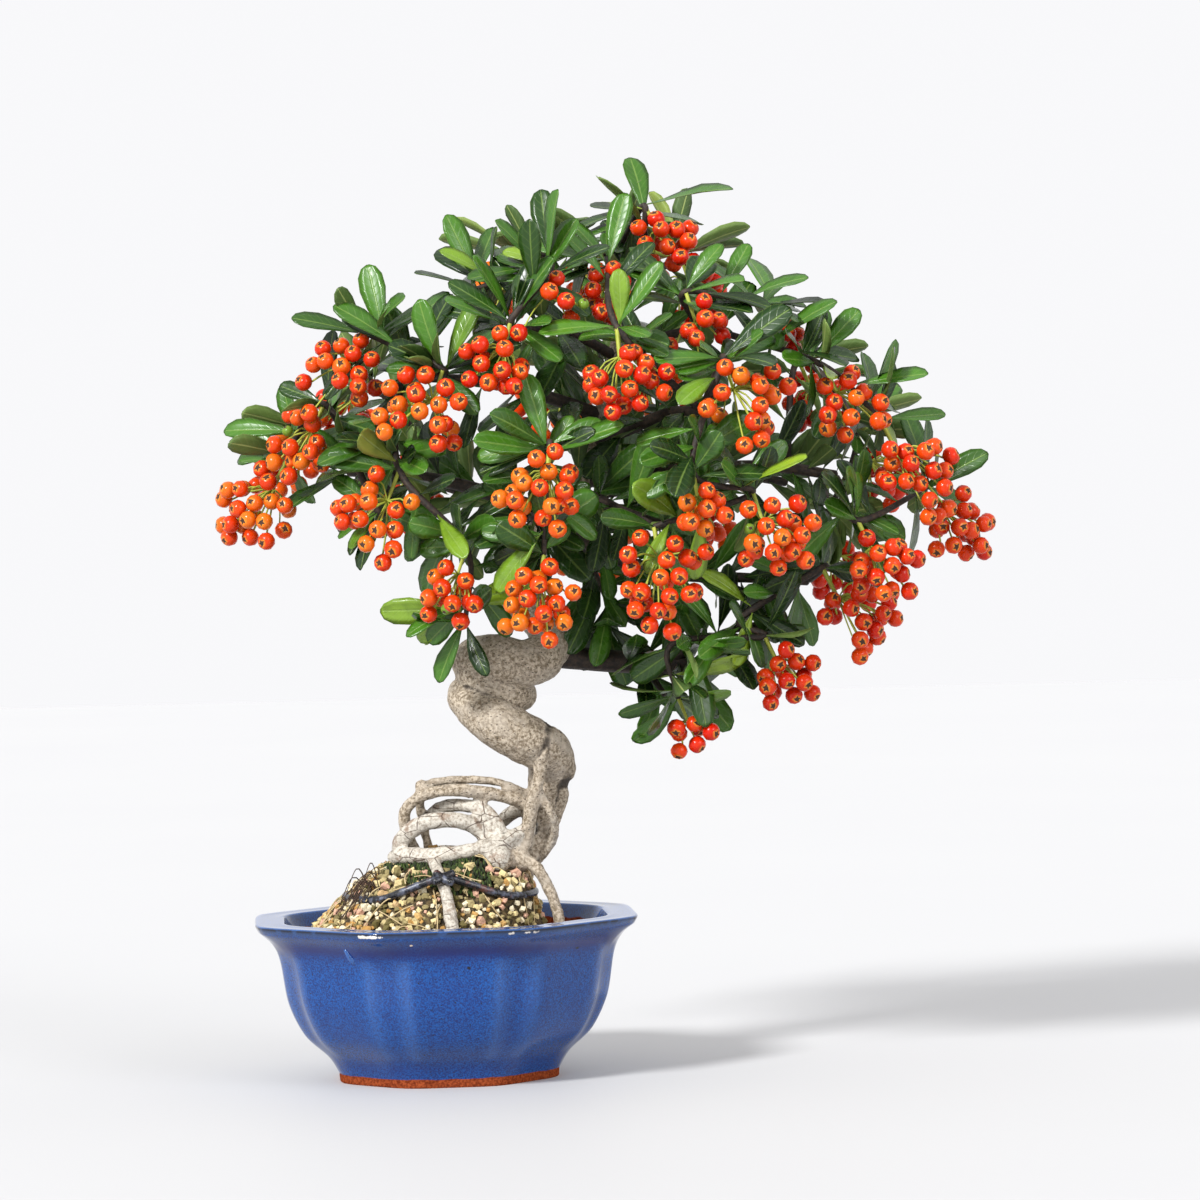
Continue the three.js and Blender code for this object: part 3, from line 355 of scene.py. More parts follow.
# %% Leaf shape
LEAF_FOLD = 0.22
LEAF_OUTLINE = [[0, 0], [0.42, -0.8], [0.8, -0.92], [1, 0], [0.8, 0.92], [0.42, 0.8]]
LEAF_FACES = [[0, 1, 5], [5, 1, 3], [1, 2, 3], [3, 4, 5]]


def blade(leaf):
    """The outline of a leaf's middle surface, from its root round to its root. A kept leaf knows its own."""
    if "outline" in leaf:
        return leaf["outline"]
    side = np.cross(leaf["upper"], leaf["along"])
    points = []
    for share, wide in LEAF_OUTLINE:
        across = wide * leaf["width"] / 2
        lift = LEAF_FOLD * abs(across) - leaf["arch"] * leaf["length"] * share * share
        points.append(leaf["root"] + leaf["along"] * share * leaf["length"] + side * across
                      + leaf["upper"] * lift)
    return np.array(points)


def off_triangle(points, a, b, c):
    """Distances of the points from a triangle."""
    normal = unit(np.cross(b - a, c - a))
    inside = np.ones(len(points), bool)
    nearest = np.full(len(points), np.inf)
    for start, end in ((a, b), (b, c), (c, a)):
        way = end - start
        away = points - start
        inside &= np.cross(way, away) @ normal >= 0
        share = np.clip(away @ way / way.dot(way), 0, 1)
        nearest = np.minimum(nearest, np.linalg.norm(away - share[:, None] * way, axis=1))
    return np.where(inside, np.abs((points - a) @ normal), nearest)


def off_blade(points, outline):
    return np.min([off_triangle(points, *outline[face]) for face in LEAF_FACES], axis=0)


def feelers(outline):
    """The points of a leaf that are tested against another leaf."""
    return np.vstack([outline[1:], (outline[[1, 3, 5]] + outline[0]) / 2])


def blades_apart(one, other, room):
    return off_blade(feelers(one), other).min() > room and off_blade(feelers(other), one).min() > room


def clear_of(beads_near, outline, room):
    """Whether the leaf keeps this far off all the beads."""
    return bool((off_blade(beads_near[:, :3], outline) > beads_near[:, 3] + room).all())


print("faces of a plain leaf:", len(LEAF_FACES))

# %% Placing leaves
LEAF_CLEAR, LEAVES_APART = 0.8, 1
ROSETTE_DEPTH = 10
LONGEST_TIP = 36
ROOT_ROOM = 13
LEAF_LENGTH = [22, 33]
SHORTER = (1, 0.84, 0.7)
FURTHEST_COSINE = -0.9
GOLDEN_ANGLE, GOLDEN_SHARE = 137.508, 0.618034
OFF_TWIG_COSINE = math.cos(math.radians(32))
INWARDS_LIMIT = -0.35


def in_own_room(points, rosette, room):
    """Whether the points lie nearer to this rosette than to all others, with some room to spare."""
    others = SITES[[other is not rosette for other in ROSETTES]]
    apart = np.linalg.norm(others - rosette["site"], axis=1)
    near = ((points - rosette["site"]) ** 2).sum(axis=1)
    far = ((points[:, None] - others) ** 2).sum(axis=2)
    return bool((far - near[:, None] > 2 * apart * room).all())


def leaf_at(rosette, along, length, draw):
    """A leaf whose root lies further down the twig, the more leaves there are already."""
    upper = square_to(along, rosette["outward"] * 0.9 + UP * 0.5)
    span = np.linalg.norm(rosette["way"])
    depth = min(ROSETTE_DEPTH, 0.9 * span)
    back = min(depth, depth * len(rosette["leaves"]) / 6)
    return {"root": rosette["hub"] - rosette["way"] * back / span + upper * 0.2, "along": along,
            "upper": upper, "length": length, "width": length * between([0.3, 0.35], draw()),
            "arch": between([0.06, 0.2], draw())}


def fits(leaf, rosette, obstacles):
    """The solid model's test of a leaf."""
    outline = blade(leaf)
    if not in_own_room(outline, rosette, LEAF_CLEAR):
        return False
    if rosette["radius"] and off_blade(rosette["bunch"][None], outline)[0] <= rosette["radius"] + LEAF_CLEAR:
        return False
    if not all(blades_apart(outline, blade(other), LEAVES_APART) for other in rosette["leaves"]):
        return False
    return clear_of(obstacles, outline, LEAF_CLEAR)


def try_leaf(rosette, along, length, draw, obstacles, spread=36, test=fits):
    """Keeps a leaf this way, shorter if need be, unless another within the spread points the same way."""
    leaf = leaf_at(rosette, along, length, draw)
    if any(other["along"].dot(along) > math.cos(math.radians(spread)) for other in rosette["leaves"]):
        return
    for share in SHORTER:
        leaf["length"] = length * share
        if test(leaf, rosette, obstacles):
            leaf["outline"] = blade(leaf)
            rosette["leaves"].append(leaf)
            return


def leaf_ways(rosette, tries, turned, margin=12):
    """Directions round a rosette and out of its bunch. Each says whether it is off the twig and the crown."""
    cone = math.degrees(math.asin(rosette["radius"] / (rosette["radius"] + STALK))) + margin
    nearest = math.cos(math.radians(cone)) if rosette["radius"] else 1
    for i in range(tries):
        cosine = between([nearest, FURTHEST_COSINE], i * GOLDEN_SHARE % 1)
        along = around(rosette["axis"], math.degrees(math.acos(cosine)), turned + i * GOLDEN_ANGLE)
        off_twig = abs(along.dot(rosette["way"])) < OFF_TWIG_COSINE * np.linalg.norm(rosette["way"])
        yield along, off_twig and along.dot(rosette["outward"]) > INWARDS_LIMIT


def grow_leaves(rosette, wanted, ways, lengths, draw, obstacles, **rules):
    """Tries one way after another until the rosette has the leaves it wants."""
    for along, is_open in ways:
        if len(rosette["leaves"]) >= wanted:
            break
        length = between(lengths, draw())
        if is_open:
            try_leaf(rosette, along, length, draw, obstacles, **rules)


def near_wood(rosette):
    """The beads of wood and twigs that a rosette's leaves have to clear."""
    reach = LONGEST_TIP + ROSETTE_DEPTH
    found = [WOOD_BEADS[np.linalg.norm(WOOD_BEADS[:, :3] - rosette["hub"], axis=1) < reach]]
    for name, path in TWIG_BEADS.items():
        away = np.linalg.norm(path[:, :3] - rosette["hub"], axis=1)
        keep = away < reach
        found.append(path[keep & (away > ROOT_ROOM)] if name == rosette["twig"] else path[keep])
    return np.vstack(found)


for index, rosette in enumerate(ROSETTES):
    draw = draws(index)
    turned = draw() * 360
    rosette["wood"] = near_wood(rosette)
    stalk = [[*(rosette["hub"] + (rosette["bunch"] - rosette["hub"]) * share), radius * rosette["radius"]]
             for share, radius in STALK_BEADS if rosette["radius"]]
    rosette["obstacles"] = np.vstack([rosette["wood"], *stalk]) if stalk else rosette["wood"]
    wanted = (4 if rosette["radius"] else 6) + len(rosette["tips"])
    for tip in rosette["tips"]:
        way = tip - rosette["hub"]
        try_leaf(rosette, unit(way), min(np.linalg.norm(way), LONGEST_TIP), draw, rosette["obstacles"])
    grow_leaves(rosette, wanted, leaf_ways(rosette, 60, turned), LEAF_LENGTH, draw, rosette["obstacles"])
print("leaves of the solid model:", sum(len(rosette["leaves"]) for rosette in ROSETTES))

# %% [markdown]
# ## Where the berries go
# A bunch of pyracantha berries is a dome that opens towards the light. The solid model keeps up to seven
# berries of each, set like the corners of a cube, and those stay where they are. The bunch is then filled
# by the golden angle: first over the same ball, then on a flatter dome round it that closes the gaps to its
# neighbours. A berry may touch others and the leaves, but doesn't go into them.

# %% Berries
BERRY = 3.7
CUBE_CORNERS = [[1, 1, 1], [-1, 1, 1], [1, -1, 1], [1, 1, -1], [-1, -1, 1], [1, -1, -1], [-1, 1, -1]]
# Degrees from a cube's diagonal to its edges.
CUBE_ANGLE = 54.7356
BALL_TRIES, DOME_TRIES = 170, 190
DOME_SPREAD = 1.3
# Share of the tried places that bear a berry, so that bunches are ragged and leaves find room.
BERRY_SHARE = 0.4
# A new berry touches one that is there already.
TOO_CLOSE, TOUCHING = 2 * BERRY - 0.4, 2 * BERRY + 0.7
# Rosettes further away than this have no leaf that reaches a bunch.
LEAF_REACH = 75
# What grows in front of this depth turns to the front, and all the rest to the back.
FRONT_HALF, FACE_PULL = 15, 0.9


def first_berries(rosette, seed):
    turned = draws(seed)() * 120
    axes = np.array([around(rosette["axis"], CUBE_ANGLE, turned + turn) for turn in (0, 120, 240)])
    wood = rosette["wood"]
    for signs in CUBE_CORNERS:
        way = unit(np.array(signs) @ axes)
        place = rosette["bunch"] + way * (rosette["radius"] - BERRY)
        clear = all(math.dist(place, other) > 2 * BERRY + 0.3 for other, _ in rosette["berries"])
        clear = clear and (np.linalg.norm(wood[:, :3] - place, axis=1) > wood[:, 3] + BERRY + 0.5).all()
        if clear and in_own_room(place[None], rosette, BERRY + 0.5):
            rosette["berries"].append((place, way))


def nearer_face(y):
    """How strongly what grows at this depth turns to the tree's front or back for light."""
    return -FACE_PULL if y < FRONT_HALF else FACE_PULL


def facing(rosette):
    """The way a bunch or leaf turns for light: out of the crown, to the nearer face and a little up."""
    return unit(rosette["outward"] + np.array([0, nearer_face(rosette["hub"][1]), 0.15]))


def dome_places(rosette, draw):
    """Places on the bunch's ball where light reaches, and then on the flatter dome round it."""
    reach, out, places = rosette["radius"] - BERRY, facing(rosette), []
    for i in range(BALL_TRIES):
        cosine = 1 - 1.8 * (i + 0.5) / BALL_TRIES
        way = around(rosette["axis"], math.degrees(math.acos(cosine)), i * GOLDEN_ANGLE)
        if way.dot(out) > -0.2:
            places.append(rosette["bunch"] + way * (reach + draw() * 4 - 2.5))
    for i in range(DOME_TRIES):
        share = math.sqrt((i + 0.5) / DOME_TRIES)
        side = around(out, 90, i * GOLDEN_ANGLE)
        places.append(rosette["bunch"] + side * share * DOME_SPREAD * (reach + 2)
                      + out * reach * (1.05 - 0.75 * share * share + 0.2 * draw()))
    return np.array(places)


def fill_bunch(rosette, taken, seed):
    draw = draws(seed)
    places = dome_places(rosette, draw)
    wood = rosette["wood"]
    free = (np.linalg.norm(places[:, None] - wood[None, :, :3], axis=2) > wood[:, 3] + BERRY).all(axis=1)
    for other in ROSETTES:
        if math.dist(other["hub"], rosette["bunch"]) < LEAF_REACH:
            for leaf in other["leaves"]:
                free &= off_blade(places, blade(leaf)) > BERRY + 0.2
    for place in places[free]:
        if draw() < BERRY_SHARE and TOO_CLOSE < np.linalg.norm(taken - place, axis=1).min() < TOUCHING:
            rosette["berries"].append((place, unit(place - rosette["bunch"])))
            taken = np.vstack([taken, place])
    return taken


bunches = [rosette for rosette in ROSETTES if rosette["radius"]]
for index, rosette in enumerate(ROSETTES):
    if rosette["radius"]:
        first_berries(rosette, index + 500)
taken = np.array([place for rosette in bunches for place, _ in rosette["berries"]])
print("berries of the solid model:", len(taken))
for index, rosette in enumerate(bunches):
    taken = fill_bunch(rosette, taken, 800 + index)
print("berries in all:", len(taken))

# %% [markdown]
# ## More leaves
# The same search for light goes on with shorter leaves that may stand closer together and reach into a
# neighbour's room, as they do in a clipped crown. They still keep off the berries and the wood.

# %% Fuller rosettes
LEAVES_IN_ROSETTE = 11
FULLER_LENGTH = [22, 35]


def slips_in(leaf, rosette, obstacles):
    """The easier test: a leaf may come close to its neighbours."""
    outline = blade(leaf)
    spaced = all(blades_apart(outline, blade(other), 0.3) for other in rosette["leaves"])
    return spaced and clear_of(obstacles, outline, 0.4)


for index, rosette in enumerate(ROSETTES):
    draw = draws(index + 1000)
    ways = leaf_ways(rosette, 160, draw() * 360, margin=4)
    near = taken[np.linalg.norm(taken - rosette["hub"], axis=1) < 45]
    obstacles = np.vstack([rosette["obstacles"], np.column_stack([near, np.full(len(near), BERRY)])])
    grow_leaves(rosette, LEAVES_IN_ROSETTE, ways, FULLER_LENGTH, draw, obstacles, spread=21, test=slips_in)
print("leaves in all:", sum(len(rosette["leaves"]) for rosette in ROSETTES))

# %% [markdown]
# ## Tools for modelling
# Operators act on whatever is selected, so everything is deselected before each new piece. Tubes are curves
# with a round bevel that are turned into a mesh, as wire and stems are usually made. What repeats is
# modelled once in its own measures, and each copy is then bent or turned into its place.

# %% Modelling helpers
def deselect_all():
    if bpy.context.object and bpy.context.object.mode != "OBJECT":
        bpy.ops.object.mode_set(mode="OBJECT")
    bpy.ops.object.select_all(action="DESELECT")


def take_up(piece):
    deselect_all()
    piece.select_set(True)
    bpy.context.view_layer.objects.active = piece


def edit(piece, where=lambda vertex: True):
    """Goes into edit mode with the vertices selected that pass the test."""
    take_up(piece)
    bpy.ops.object.mode_set(mode="EDIT")
    bpy.ops.mesh.select_mode(type="VERT")
    bpy.ops.mesh.select_all(action="DESELECT")
    bpy.ops.object.mode_set(mode="OBJECT")
    for vertex in piece.data.vertices:
        vertex.select = where(vertex)
    bpy.ops.object.mode_set(mode="EDIT")


def new_piece(name, data):
    piece = bpy.data.objects.new(name, data)
    bpy.context.collection.objects.link(piece)
    return piece


def tubes(name, paths, roundness=1):
    """One mesh of round limbs. Each path is a list of x, y, z and radius in millimetres."""
    curve = bpy.data.curves.new(name, "CURVE")
    curve.dimensions = "3D"
    curve.bevel_depth = 0.001
    curve.bevel_resolution = roundness
    curve.use_fill_caps = True
    for path in paths:
        path = np.asarray(path, float)
        spline = curve.splines.new("POLY")
        spline.points.add(len(path) - 1)
        spline.points.foreach_set("co", np.column_stack([in_frame(path), np.ones(len(path))]).ravel())
        spline.points.foreach_set("radius", path[:, 3])
    take_up(new_piece(name, curve))
    bpy.ops.object.convert(target="MESH")
    bpy.ops.object.shade_smooth()
    return bpy.context.object


def numbers(collection, field, width=1, kind=float):
    """One field of all elements, in rows where it holds more than one number."""
    found = np.empty(len(collection) * width, kind)
    collection.foreach_get(field, found)
    return found.reshape(-1, width) if width > 1 else found


def write_down(piece, name, values):
    """Gives every vertex a number, or all the same one, that a finish can read by its name."""
    values = np.full(len(piece.data.vertices), values, float)
    piece.data.attributes.new(name, "FLOAT", "POINT").data.foreach_set("value", values)


def repeat(name, master, shapes, tones, smooth=True):
    """One mesh of many copies of a master. Each copy brings its own corners, in millimetres, and its tone."""
    mesh, count = master.data, len(shapes)
    corners = len(mesh.vertices)
    faces = [list(face.vertices) for face in mesh.polygons]
    copied = bpy.data.meshes.new(name)
    copied.from_pydata(in_frame(np.vstack(shapes)).tolist(), [],
                       [[corner + i * corners for corner in face] for i in range(count) for face in faces])
    finishes = np.tile(numbers(mesh.polygons, "material_index", 1, int), count)
    copied.polygons.foreach_set("material_index", finishes)
    copied.polygons.foreach_set("use_smooth", np.full(count * len(faces), smooth))
    if mesh.uv_layers:
        layer = copied.uv_layers.new(name="leaf")
        layer.data.foreach_set("uv", np.tile(numbers(mesh.uv_layers[0].data, "uv", 2).ravel(), count))
    piece = new_piece(name, copied)
    write_down(piece, "tone", np.repeat(tones, corners))
    if "halo" in mesh.attributes:
        write_down(piece, "halo", np.tile(numbers(mesh.attributes["halo"].data, "value"), count))
    return piece


def merge(pieces, name):
    take_up(pieces[0])
    for piece in pieces:
        piece.select_set(True)
    if len(pieces) > 1:
        bpy.ops.object.join()
    piece = bpy.context.object
    piece.name = piece.data.name = name
    return piece


def faces_of(piece):
    """How many triangles the piece comes to."""
    return sum(len(face.vertices) - 2 for face in piece.data.polygons)


print("modelling helpers are ready")

# %% [markdown]
# ## Tools for finishes
# Every finish is a node material. One function adds a node with its settings and its links, another turns a
# hex colour into the linear numbers that nodes work with, and a third turns a real size in millimetres into
# a texture's scale. Colours go over each other in coats, as paint does, and each coat follows a pattern.

# %% Finish helpers
# Each kind of node in this lesson: its inputs with their usual values, in the order in which they are given
# below, then its usual output and its usual settings. None leaves an input as it comes.
NODE_KINDS = {
    "TexCoord": ({}, "Object", {}),
    "Attribute": ({}, "Fac", {}),
    "UVMap": ({}, "UV", {}),
    "SeparateXYZ": ({"Vector": None}, "X", {}),
    "Mapping": ({"Vector": None, "Scale": None}, "Vector", {}),
    "TexNoise": ({"Vector": None, "Scale": None, "Detail": 3.0, "Roughness": 0.55}, 0, {}),
    "TexVoronoi": ({"Vector": None, "Scale": None}, "Distance", {}),
    "Mix": ({0: None, 6: None, 7: None}, 2, {"data_type": "RGBA"}),
    "MapRange": ({"Value": None, "From Min": None, "From Max": None, "To Min": 0.0, "To Max": 1.0}, 0,
                 {"interpolation_type": "SMOOTHSTEP"}),
    "Math": ({0: None, 1: None}, 0, {"operation": "MULTIPLY"}),
    "VectorMath": ({0: None, 1: None}, 0, {}),
    "Bump": ({"Height": None, "Distance": None, "Strength": None}, 0, {}),
}


def linear(code):
    """An sRGB hex colour as linear red, green, blue and alpha."""
    shares = [int(code[i:i + 2], 16) / 255 for i in (1, 3, 5)]
    return [share / 12.92 if share <= 0.04045 else ((share + 0.055) / 1.055) ** 2.4
            for share in shares] + [1.0]


def per_mm(size):
    """Texture scale whose features are about this many millimetres wide."""
    return 1000 / size


def set_inputs(node, values):
    """Gives inputs a number, a hex colour or another node's output, which is linked."""
    for name, value in values.items():
        if isinstance(value, bpy.types.NodeSocket):
            node.id_data.links.new(value, node.inputs[name])
        elif value is not None:
            node.inputs[name].default_value = linear(value) if isinstance(value, str) else value


def add(tree, kind, *values, output=None, **settings):
    """Adds a node with its settings and its links, and returns its output."""
    inputs, usual_output, usual_settings = NODE_KINDS[kind]
    made = tree.nodes.new("ShaderNode" + kind)
    for setting, value in {**usual_settings, **settings}.items():
        setattr(made, setting, value)
    set_inputs(made, {**inputs, **dict(zip(inputs, values))})
    return made.outputs[usual_output if output is None else output]


def lay(tree, colour, *coats):
    """Lays coats of colour over the first. Each coat is its colour and its share of the mix, or its colour,
    the pattern that it follows and the pattern's values where it sets in and where it is full."""
    for code, *follows in coats:
        share = add(tree, "MapRange", *follows) if len(follows) > 1 else follows[0]
        colour = add(tree, "Mix", share, colour, code)
    return colour


def new_finish(name):
    """A material, its node tree and its shader."""
    finish = bpy.data.materials.new(name)
    finish.use_nodes = True
    return finish, finish.node_tree, finish.node_tree.nodes["Principled BSDF"]


def mottled(name, size, dark, light, roughness):
    """A dull finish of two colours in soft clouds of a size in millimetres."""
    finish, tree, shader = new_finish(name)
    clouds = add(tree, "TexNoise", add(tree, "TexCoord"), per_mm(size), 2)
    set_inputs(shader, {"Base Color": add(tree, "Mix", clouds, dark, light), "Roughness": roughness})
    return finish


def dress(piece, *finishes):
    """Gives the finishes in the order of the faces' material numbers, which a clear would reset."""
    if len(piece.data.materials):
        piece.data.materials.clear()
    for finish in finishes:
        piece.data.materials.append(finish)


print("blue of the glaze, linear:", [round(value, 3) for value in linear("#00488f")])

# %% [markdown]
# ## Glaze and clay
# The pot is stoneware, thrown thick and dipped in a cobalt glaze. Cobalt speckles as it melts: dark pits and
# paler crystals half a millimetre to a millimetre wide. Where the glaze runs thin over an edge it pales.
# Beside the grooves and on the brim a paler blue is painted reflection, a near-black line of painted shade
# runs round the lip's outer edge, and the hollows under the rim and above the foot are painted darker as
# shade, where the glaze also pools. A few pale spots along the lip are painted highlights. The foot and the
# inside below the rim stay bare red-brown clay. One shader carries both, because the edge of the glaze
# wanders. Its place is an attribute of the mesh.

# %% Glazed stoneware
glaze, tree, shader = new_finish("cobalt glaze on stoneware")
here = add(tree, "TexCoord")
wander = add(tree, "TexNoise", here, per_mm(7), 2)
clouds = add(tree, "TexNoise", here, per_mm(14))
speckle = add(tree, "TexNoise", here, per_mm(0.65), 2, 0.7)
pits = add(tree, "TexVoronoi", here, per_mm(3.2))
thin, breaks, pooled, coat = [add(tree, "Attribute", attribute_name=name)
                              for name in ("thin", "breaks", "pooled", "glaze")]
# 1 on glaze, 0 on bare clay. The line between them wanders by a millimetre or so.
coat = add(tree, "MapRange", add(tree, "Math", coat, add(tree, "Math", wander, 0.5), operation="ADD"),
           0.68, 0.8)
# Over the blue: paler where the glaze is thin, with painted reflections beside the grooves and on the brim, a
# painted shade line at the lip and painted shade in the hollows.
blue = lay(tree, "#021d55",
           ("#00488f", speckle, 0.36, 0.64),
           ("#012566", clouds, 0.35, 0.75, 0, 0.3),
           ("#040a1e", pits, 0.13, 0.05),
           ("#4f78b4", thin),
           ("#0c0a10", add(tree, "Math", breaks, add(tree, "MapRange", wander, 0.36, 0.46, 0.7, 1.0))),
           ("#001358", add(tree, "Math", pooled, add(tree, "MapRange", clouds, 0.3, 0.6, 0.75, 1.0))))
print("nodes of the glaze so far:", len(tree.nodes))

# %% Painted highlights, a chip and pits
# Place in millimetres, half height, flatness and colour of each painted highlight along the lip, of a chip and
# of each pit.
HIGHLIGHTS_AND_MARKS = [
    [-29.5, -73.6, 62.3, 0.7, 0.25, "#d9d2c8"], [-25.6, -75.4, 62.3, 0.6, 0.2, "#e6e1da"],
    [27.9, -73.3, 62.4, 0.5, 0.4, "#b9b3ac"], [33.4, -71.6, 62.5, 0.4, 0.3, "#cfc8c0"],
    [37.1, -70.2, 62.4, 0.5, 0.4, "#b9b3ac"], [-11.1, -73.1, 58.5, 0.6, 1, "#d8c4ac"],
    [10.8, -65.8, 48.8, 0.7, 1, "#060a1c"], [53.0, -43.2, 53.4, 0.7, 0.6, "#060a1c"],
    [45.0, -29.8, 15.4, 0.6, 1, "#060a1c"],
]
# How far beyond its half height a mark begins and is full, and how far its ragged edge comes in.
MARK_BEGINS, MARK_FULL, MARK_RAGGED = 0.7, 0.4, 1.2
ragged = add(tree, "Math", add(tree, "TexNoise", here, per_mm(1.2), 2), MARK_RAGGED / 1000)
# The pale marks along the lip are painted highlights, the tan one is a chip and the dark ones are pits.
for x, y, z, half, flatness, code in HIGHLIGHTS_AND_MARKS:
    away = add(tree, "VectorMath", here, tuple(in_frame([x, y, z])), operation="SUBTRACT")
    away = add(tree, "VectorMath", away, (flatness, flatness, 1), operation="MULTIPLY")
    away = add(tree, "VectorMath", away, operation="LENGTH", output="Value")
    away = add(tree, "Math", away, ragged, operation="ADD")
    blue = lay(tree, blue, (code, away, (half + MARK_BEGINS) / 1000, (half + MARK_FULL) / 1000))
print("marks:", len(HIGHLIGHTS_AND_MARKS))

# %% Clay and coat
clay = lay(tree, "#5a2413", ("#8f4526", add(tree, "TexNoise", here, per_mm(0.9)), 0.3, 0.7))
CLAY_ROUGHNESS = 0.85
gloss = add(tree, "MapRange", speckle, 0.3, 0.7, 0.06, 0.13)
height = add(tree, "Math", add(tree, "Math", speckle, 0.25), add(tree, "Math", coat, 0.6), operation="ADD")
rough = add(tree, "Mix", coat, output=0, data_type="FLOAT")
set_inputs(rough.node, {2: CLAY_ROUGHNESS, 3: gloss})
set_inputs(shader, {
    "Base Color": add(tree, "Mix", coat, clay, blue),
    "Roughness": rough,
    "Normal": add(tree, "Bump", height, 0.0002, 0.3),
    # The glaze is a coat of glass, and the clay has none.
    "Coat Weight": coat, "Coat Roughness": 0.04, "Coat IOR": 1.5, "Specular IOR Level": 0.0,
})
print("nodes of the glaze:", len(tree.nodes))

# %% [markdown]
# ## The pot
# Such a pot is made by pressing clay into a mould: eight softly bulging sides that meet in shallow grooves,
# a low foot ring, a waist under the rim and a broad rim with a rounded lip. Its profile is drawn once and
# spun round, and the round wall is then pressed into eight sides by moving each vertex in or out.

# %% Pot profile
# Height, distance of a side from the middle, depth of the corner grooves and bulge of the sides.
POT_OUTSIDE = [
    [0, 43, 0.8, 0.3], [3.2, 43.4, 0.8, 0.3], [10, 47.4, 1.2, 0.5], [19, 56.0, 2.4, 1.2],
    [32, 62.0, 2.8, 1.4], [49, 65.2, 2.4, 1.2], [56, 68.6, 1.4, 0.9], [61, 74.2, 0.8, 0.6],
    [64, 75.4, 0.8, 0.5],
]
POT_INSIDE = [
    [64, 63.6, 1.4, 0.4], [57, 61.4, 1.8, 0.6], [26, 54.4, 1.8, 0.7], [9.5, 38, 0.8, 0.3],
]
POT_TURN = 4
POT_POINTS = 128
RIM_HEIGHT, RIM_REACH, LIP = 64, 75.4, 0.9
# Angles of the points on the outer lip and on the inner lip, and distances of those across the brim.
LIP_ANGLES, INNER_LIP_ANGLES = (1.4, 0.9, 0.45, 0), (0, 0.5, 1.0, 1.5)
BRIM_PLACES = (72.6, 70.4, 68.2, 66.2)


def level(rows, z):
    """Apothem, groove and bulge of the wall at a height."""
    rows = np.array(sorted(rows))
    return [float(np.interp(z, rows[:, 0], rows[:, i])) for i in (1, 2, 3)]


def profile_of(rows, apart=1.6):
    """A smooth line of radius and height through the rows."""
    stops = [[row[1], row[0], 0] for row in rows]
    return along_curve(stops, lambda chord: max(1, round(chord / apart)))[:, :2]


outside = profile_of(POT_OUTSIDE[1:-1])
lip = [[RIM_REACH - LIP + LIP * math.sin(a), RIM_HEIGHT - LIP + LIP * math.cos(a)] for a in LIP_ANGLES]
# The brim dips a quarter of a millimetre between its lips.
brim = [[r, RIM_HEIGHT - 0.25 * math.sin((74.4 - r) / 10 * math.pi)] for r in BRIM_PLACES]
inner_lip = [[64.5 - LIP * math.sin(a), RIM_HEIGHT - LIP + LIP * math.cos(a)] for a in INNER_LIP_ANGLES]
foot = [[43, 0], [43.25, 0.3], [43.3, 1.8], [43.4, 3.2]]
floor = [[22, 9.5], [7.6, 9.5], [7, 8.9], [7, 4.1], [7.6, 3.5], [20, 3.5], [34.6, 3.5], [35.2, 2.8],
         [35.8, 0.4], [36.3, 0]]
profile = np.vstack([foot, outside[1:], [[75.1, 62.6]], lip, brim, inner_lip, [[63.2, 61.5]],
                     profile_of(POT_INSIDE[1:]), floor])
print("points of the profile:", len(profile), " rim height, mm:", profile[:, 1].max())

# %% Spin the wall
deselect_all()
line = bpy.data.meshes.new("pot")
places = in_frame([[radius, 0, height] for radius, height in profile])
line.from_pydata(places.tolist(), [(i, (i + 1) % len(places)) for i in range(len(places))], [])
pot = new_piece("glazed_pot", line)
edit(pot)
bpy.ops.mesh.spin(steps=POT_POINTS, angle=math.tau, center=POT_MIDDLE, axis=(0, 0, 1))
bpy.ops.mesh.select_all(action="SELECT")
bpy.ops.mesh.remove_doubles(threshold=0.00002)
bpy.ops.mesh.normals_make_consistent(inside=False)
bpy.ops.object.mode_set(mode="OBJECT")
bpy.ops.object.shade_smooth()
print("pot's vertices:", len(pot.data.vertices))

# %% Press it into eight sides
SIDE, HALF_SIDE = 45, math.radians(22.5)
# Share of the way to the corner at which its groove begins.
GROOVE_BEGINS = 0.58


def side_share(angle):
    """Degrees from a side's middle, and how far that is towards its corner, from 0 to 1."""
    turned = (math.degrees(angle) - POT_TURN + 90) % SIDE
    turned = min(turned, SIDE - turned)
    return turned, math.tan(math.radians(turned)) / math.tan(HALF_SIDE)


def side_offset(angle, apothem, groove, bulge):
    """How far the wall stands at this angle from its middle, for eight sides with soft corner grooves."""
    turned, share = side_share(angle)
    straight = apothem / math.cos(math.radians(turned))
    ease = min(1, max(0, (share - GROOVE_BEGINS) / (1 - GROOVE_BEGINS)))
    ease = ease * ease * (3 - 2 * ease)
    return straight + bulge * (1 - ease) - groove * ease / math.cos(HALF_SIDE)


def ramp(value):
    """The value kept between 0 and 1."""
    return min(1.0, max(0.0, value))


def swell(value, middle, width):
    """1 at the middle, and soon nothing beyond the width."""
    return math.exp(-((value - middle) / width) ** 2)


def pressed(x, y, z):
    """A wall point's place after pressing, its first distance from the middle, and whether it faces out."""
    radius, angle = math.hypot(x, y), math.atan2(y, x)
    out_row, in_row = level(POT_OUTSIDE, z), level(POT_INSIDE, z)
    is_outside = z < 9 and radius > 30 or z >= 9 and radius > (out_row[0] + in_row[0]) / 2
    row = out_row if is_outside else in_row
    # The floor round the drain hole stays round.
    weight = 1 if is_outside else ramp((radius - 12) / 20)
    reach = radius + (side_offset(angle, *row) - row[0]) * weight
    return [x * reach / radius, y * reach / radius, z], radius, is_outside


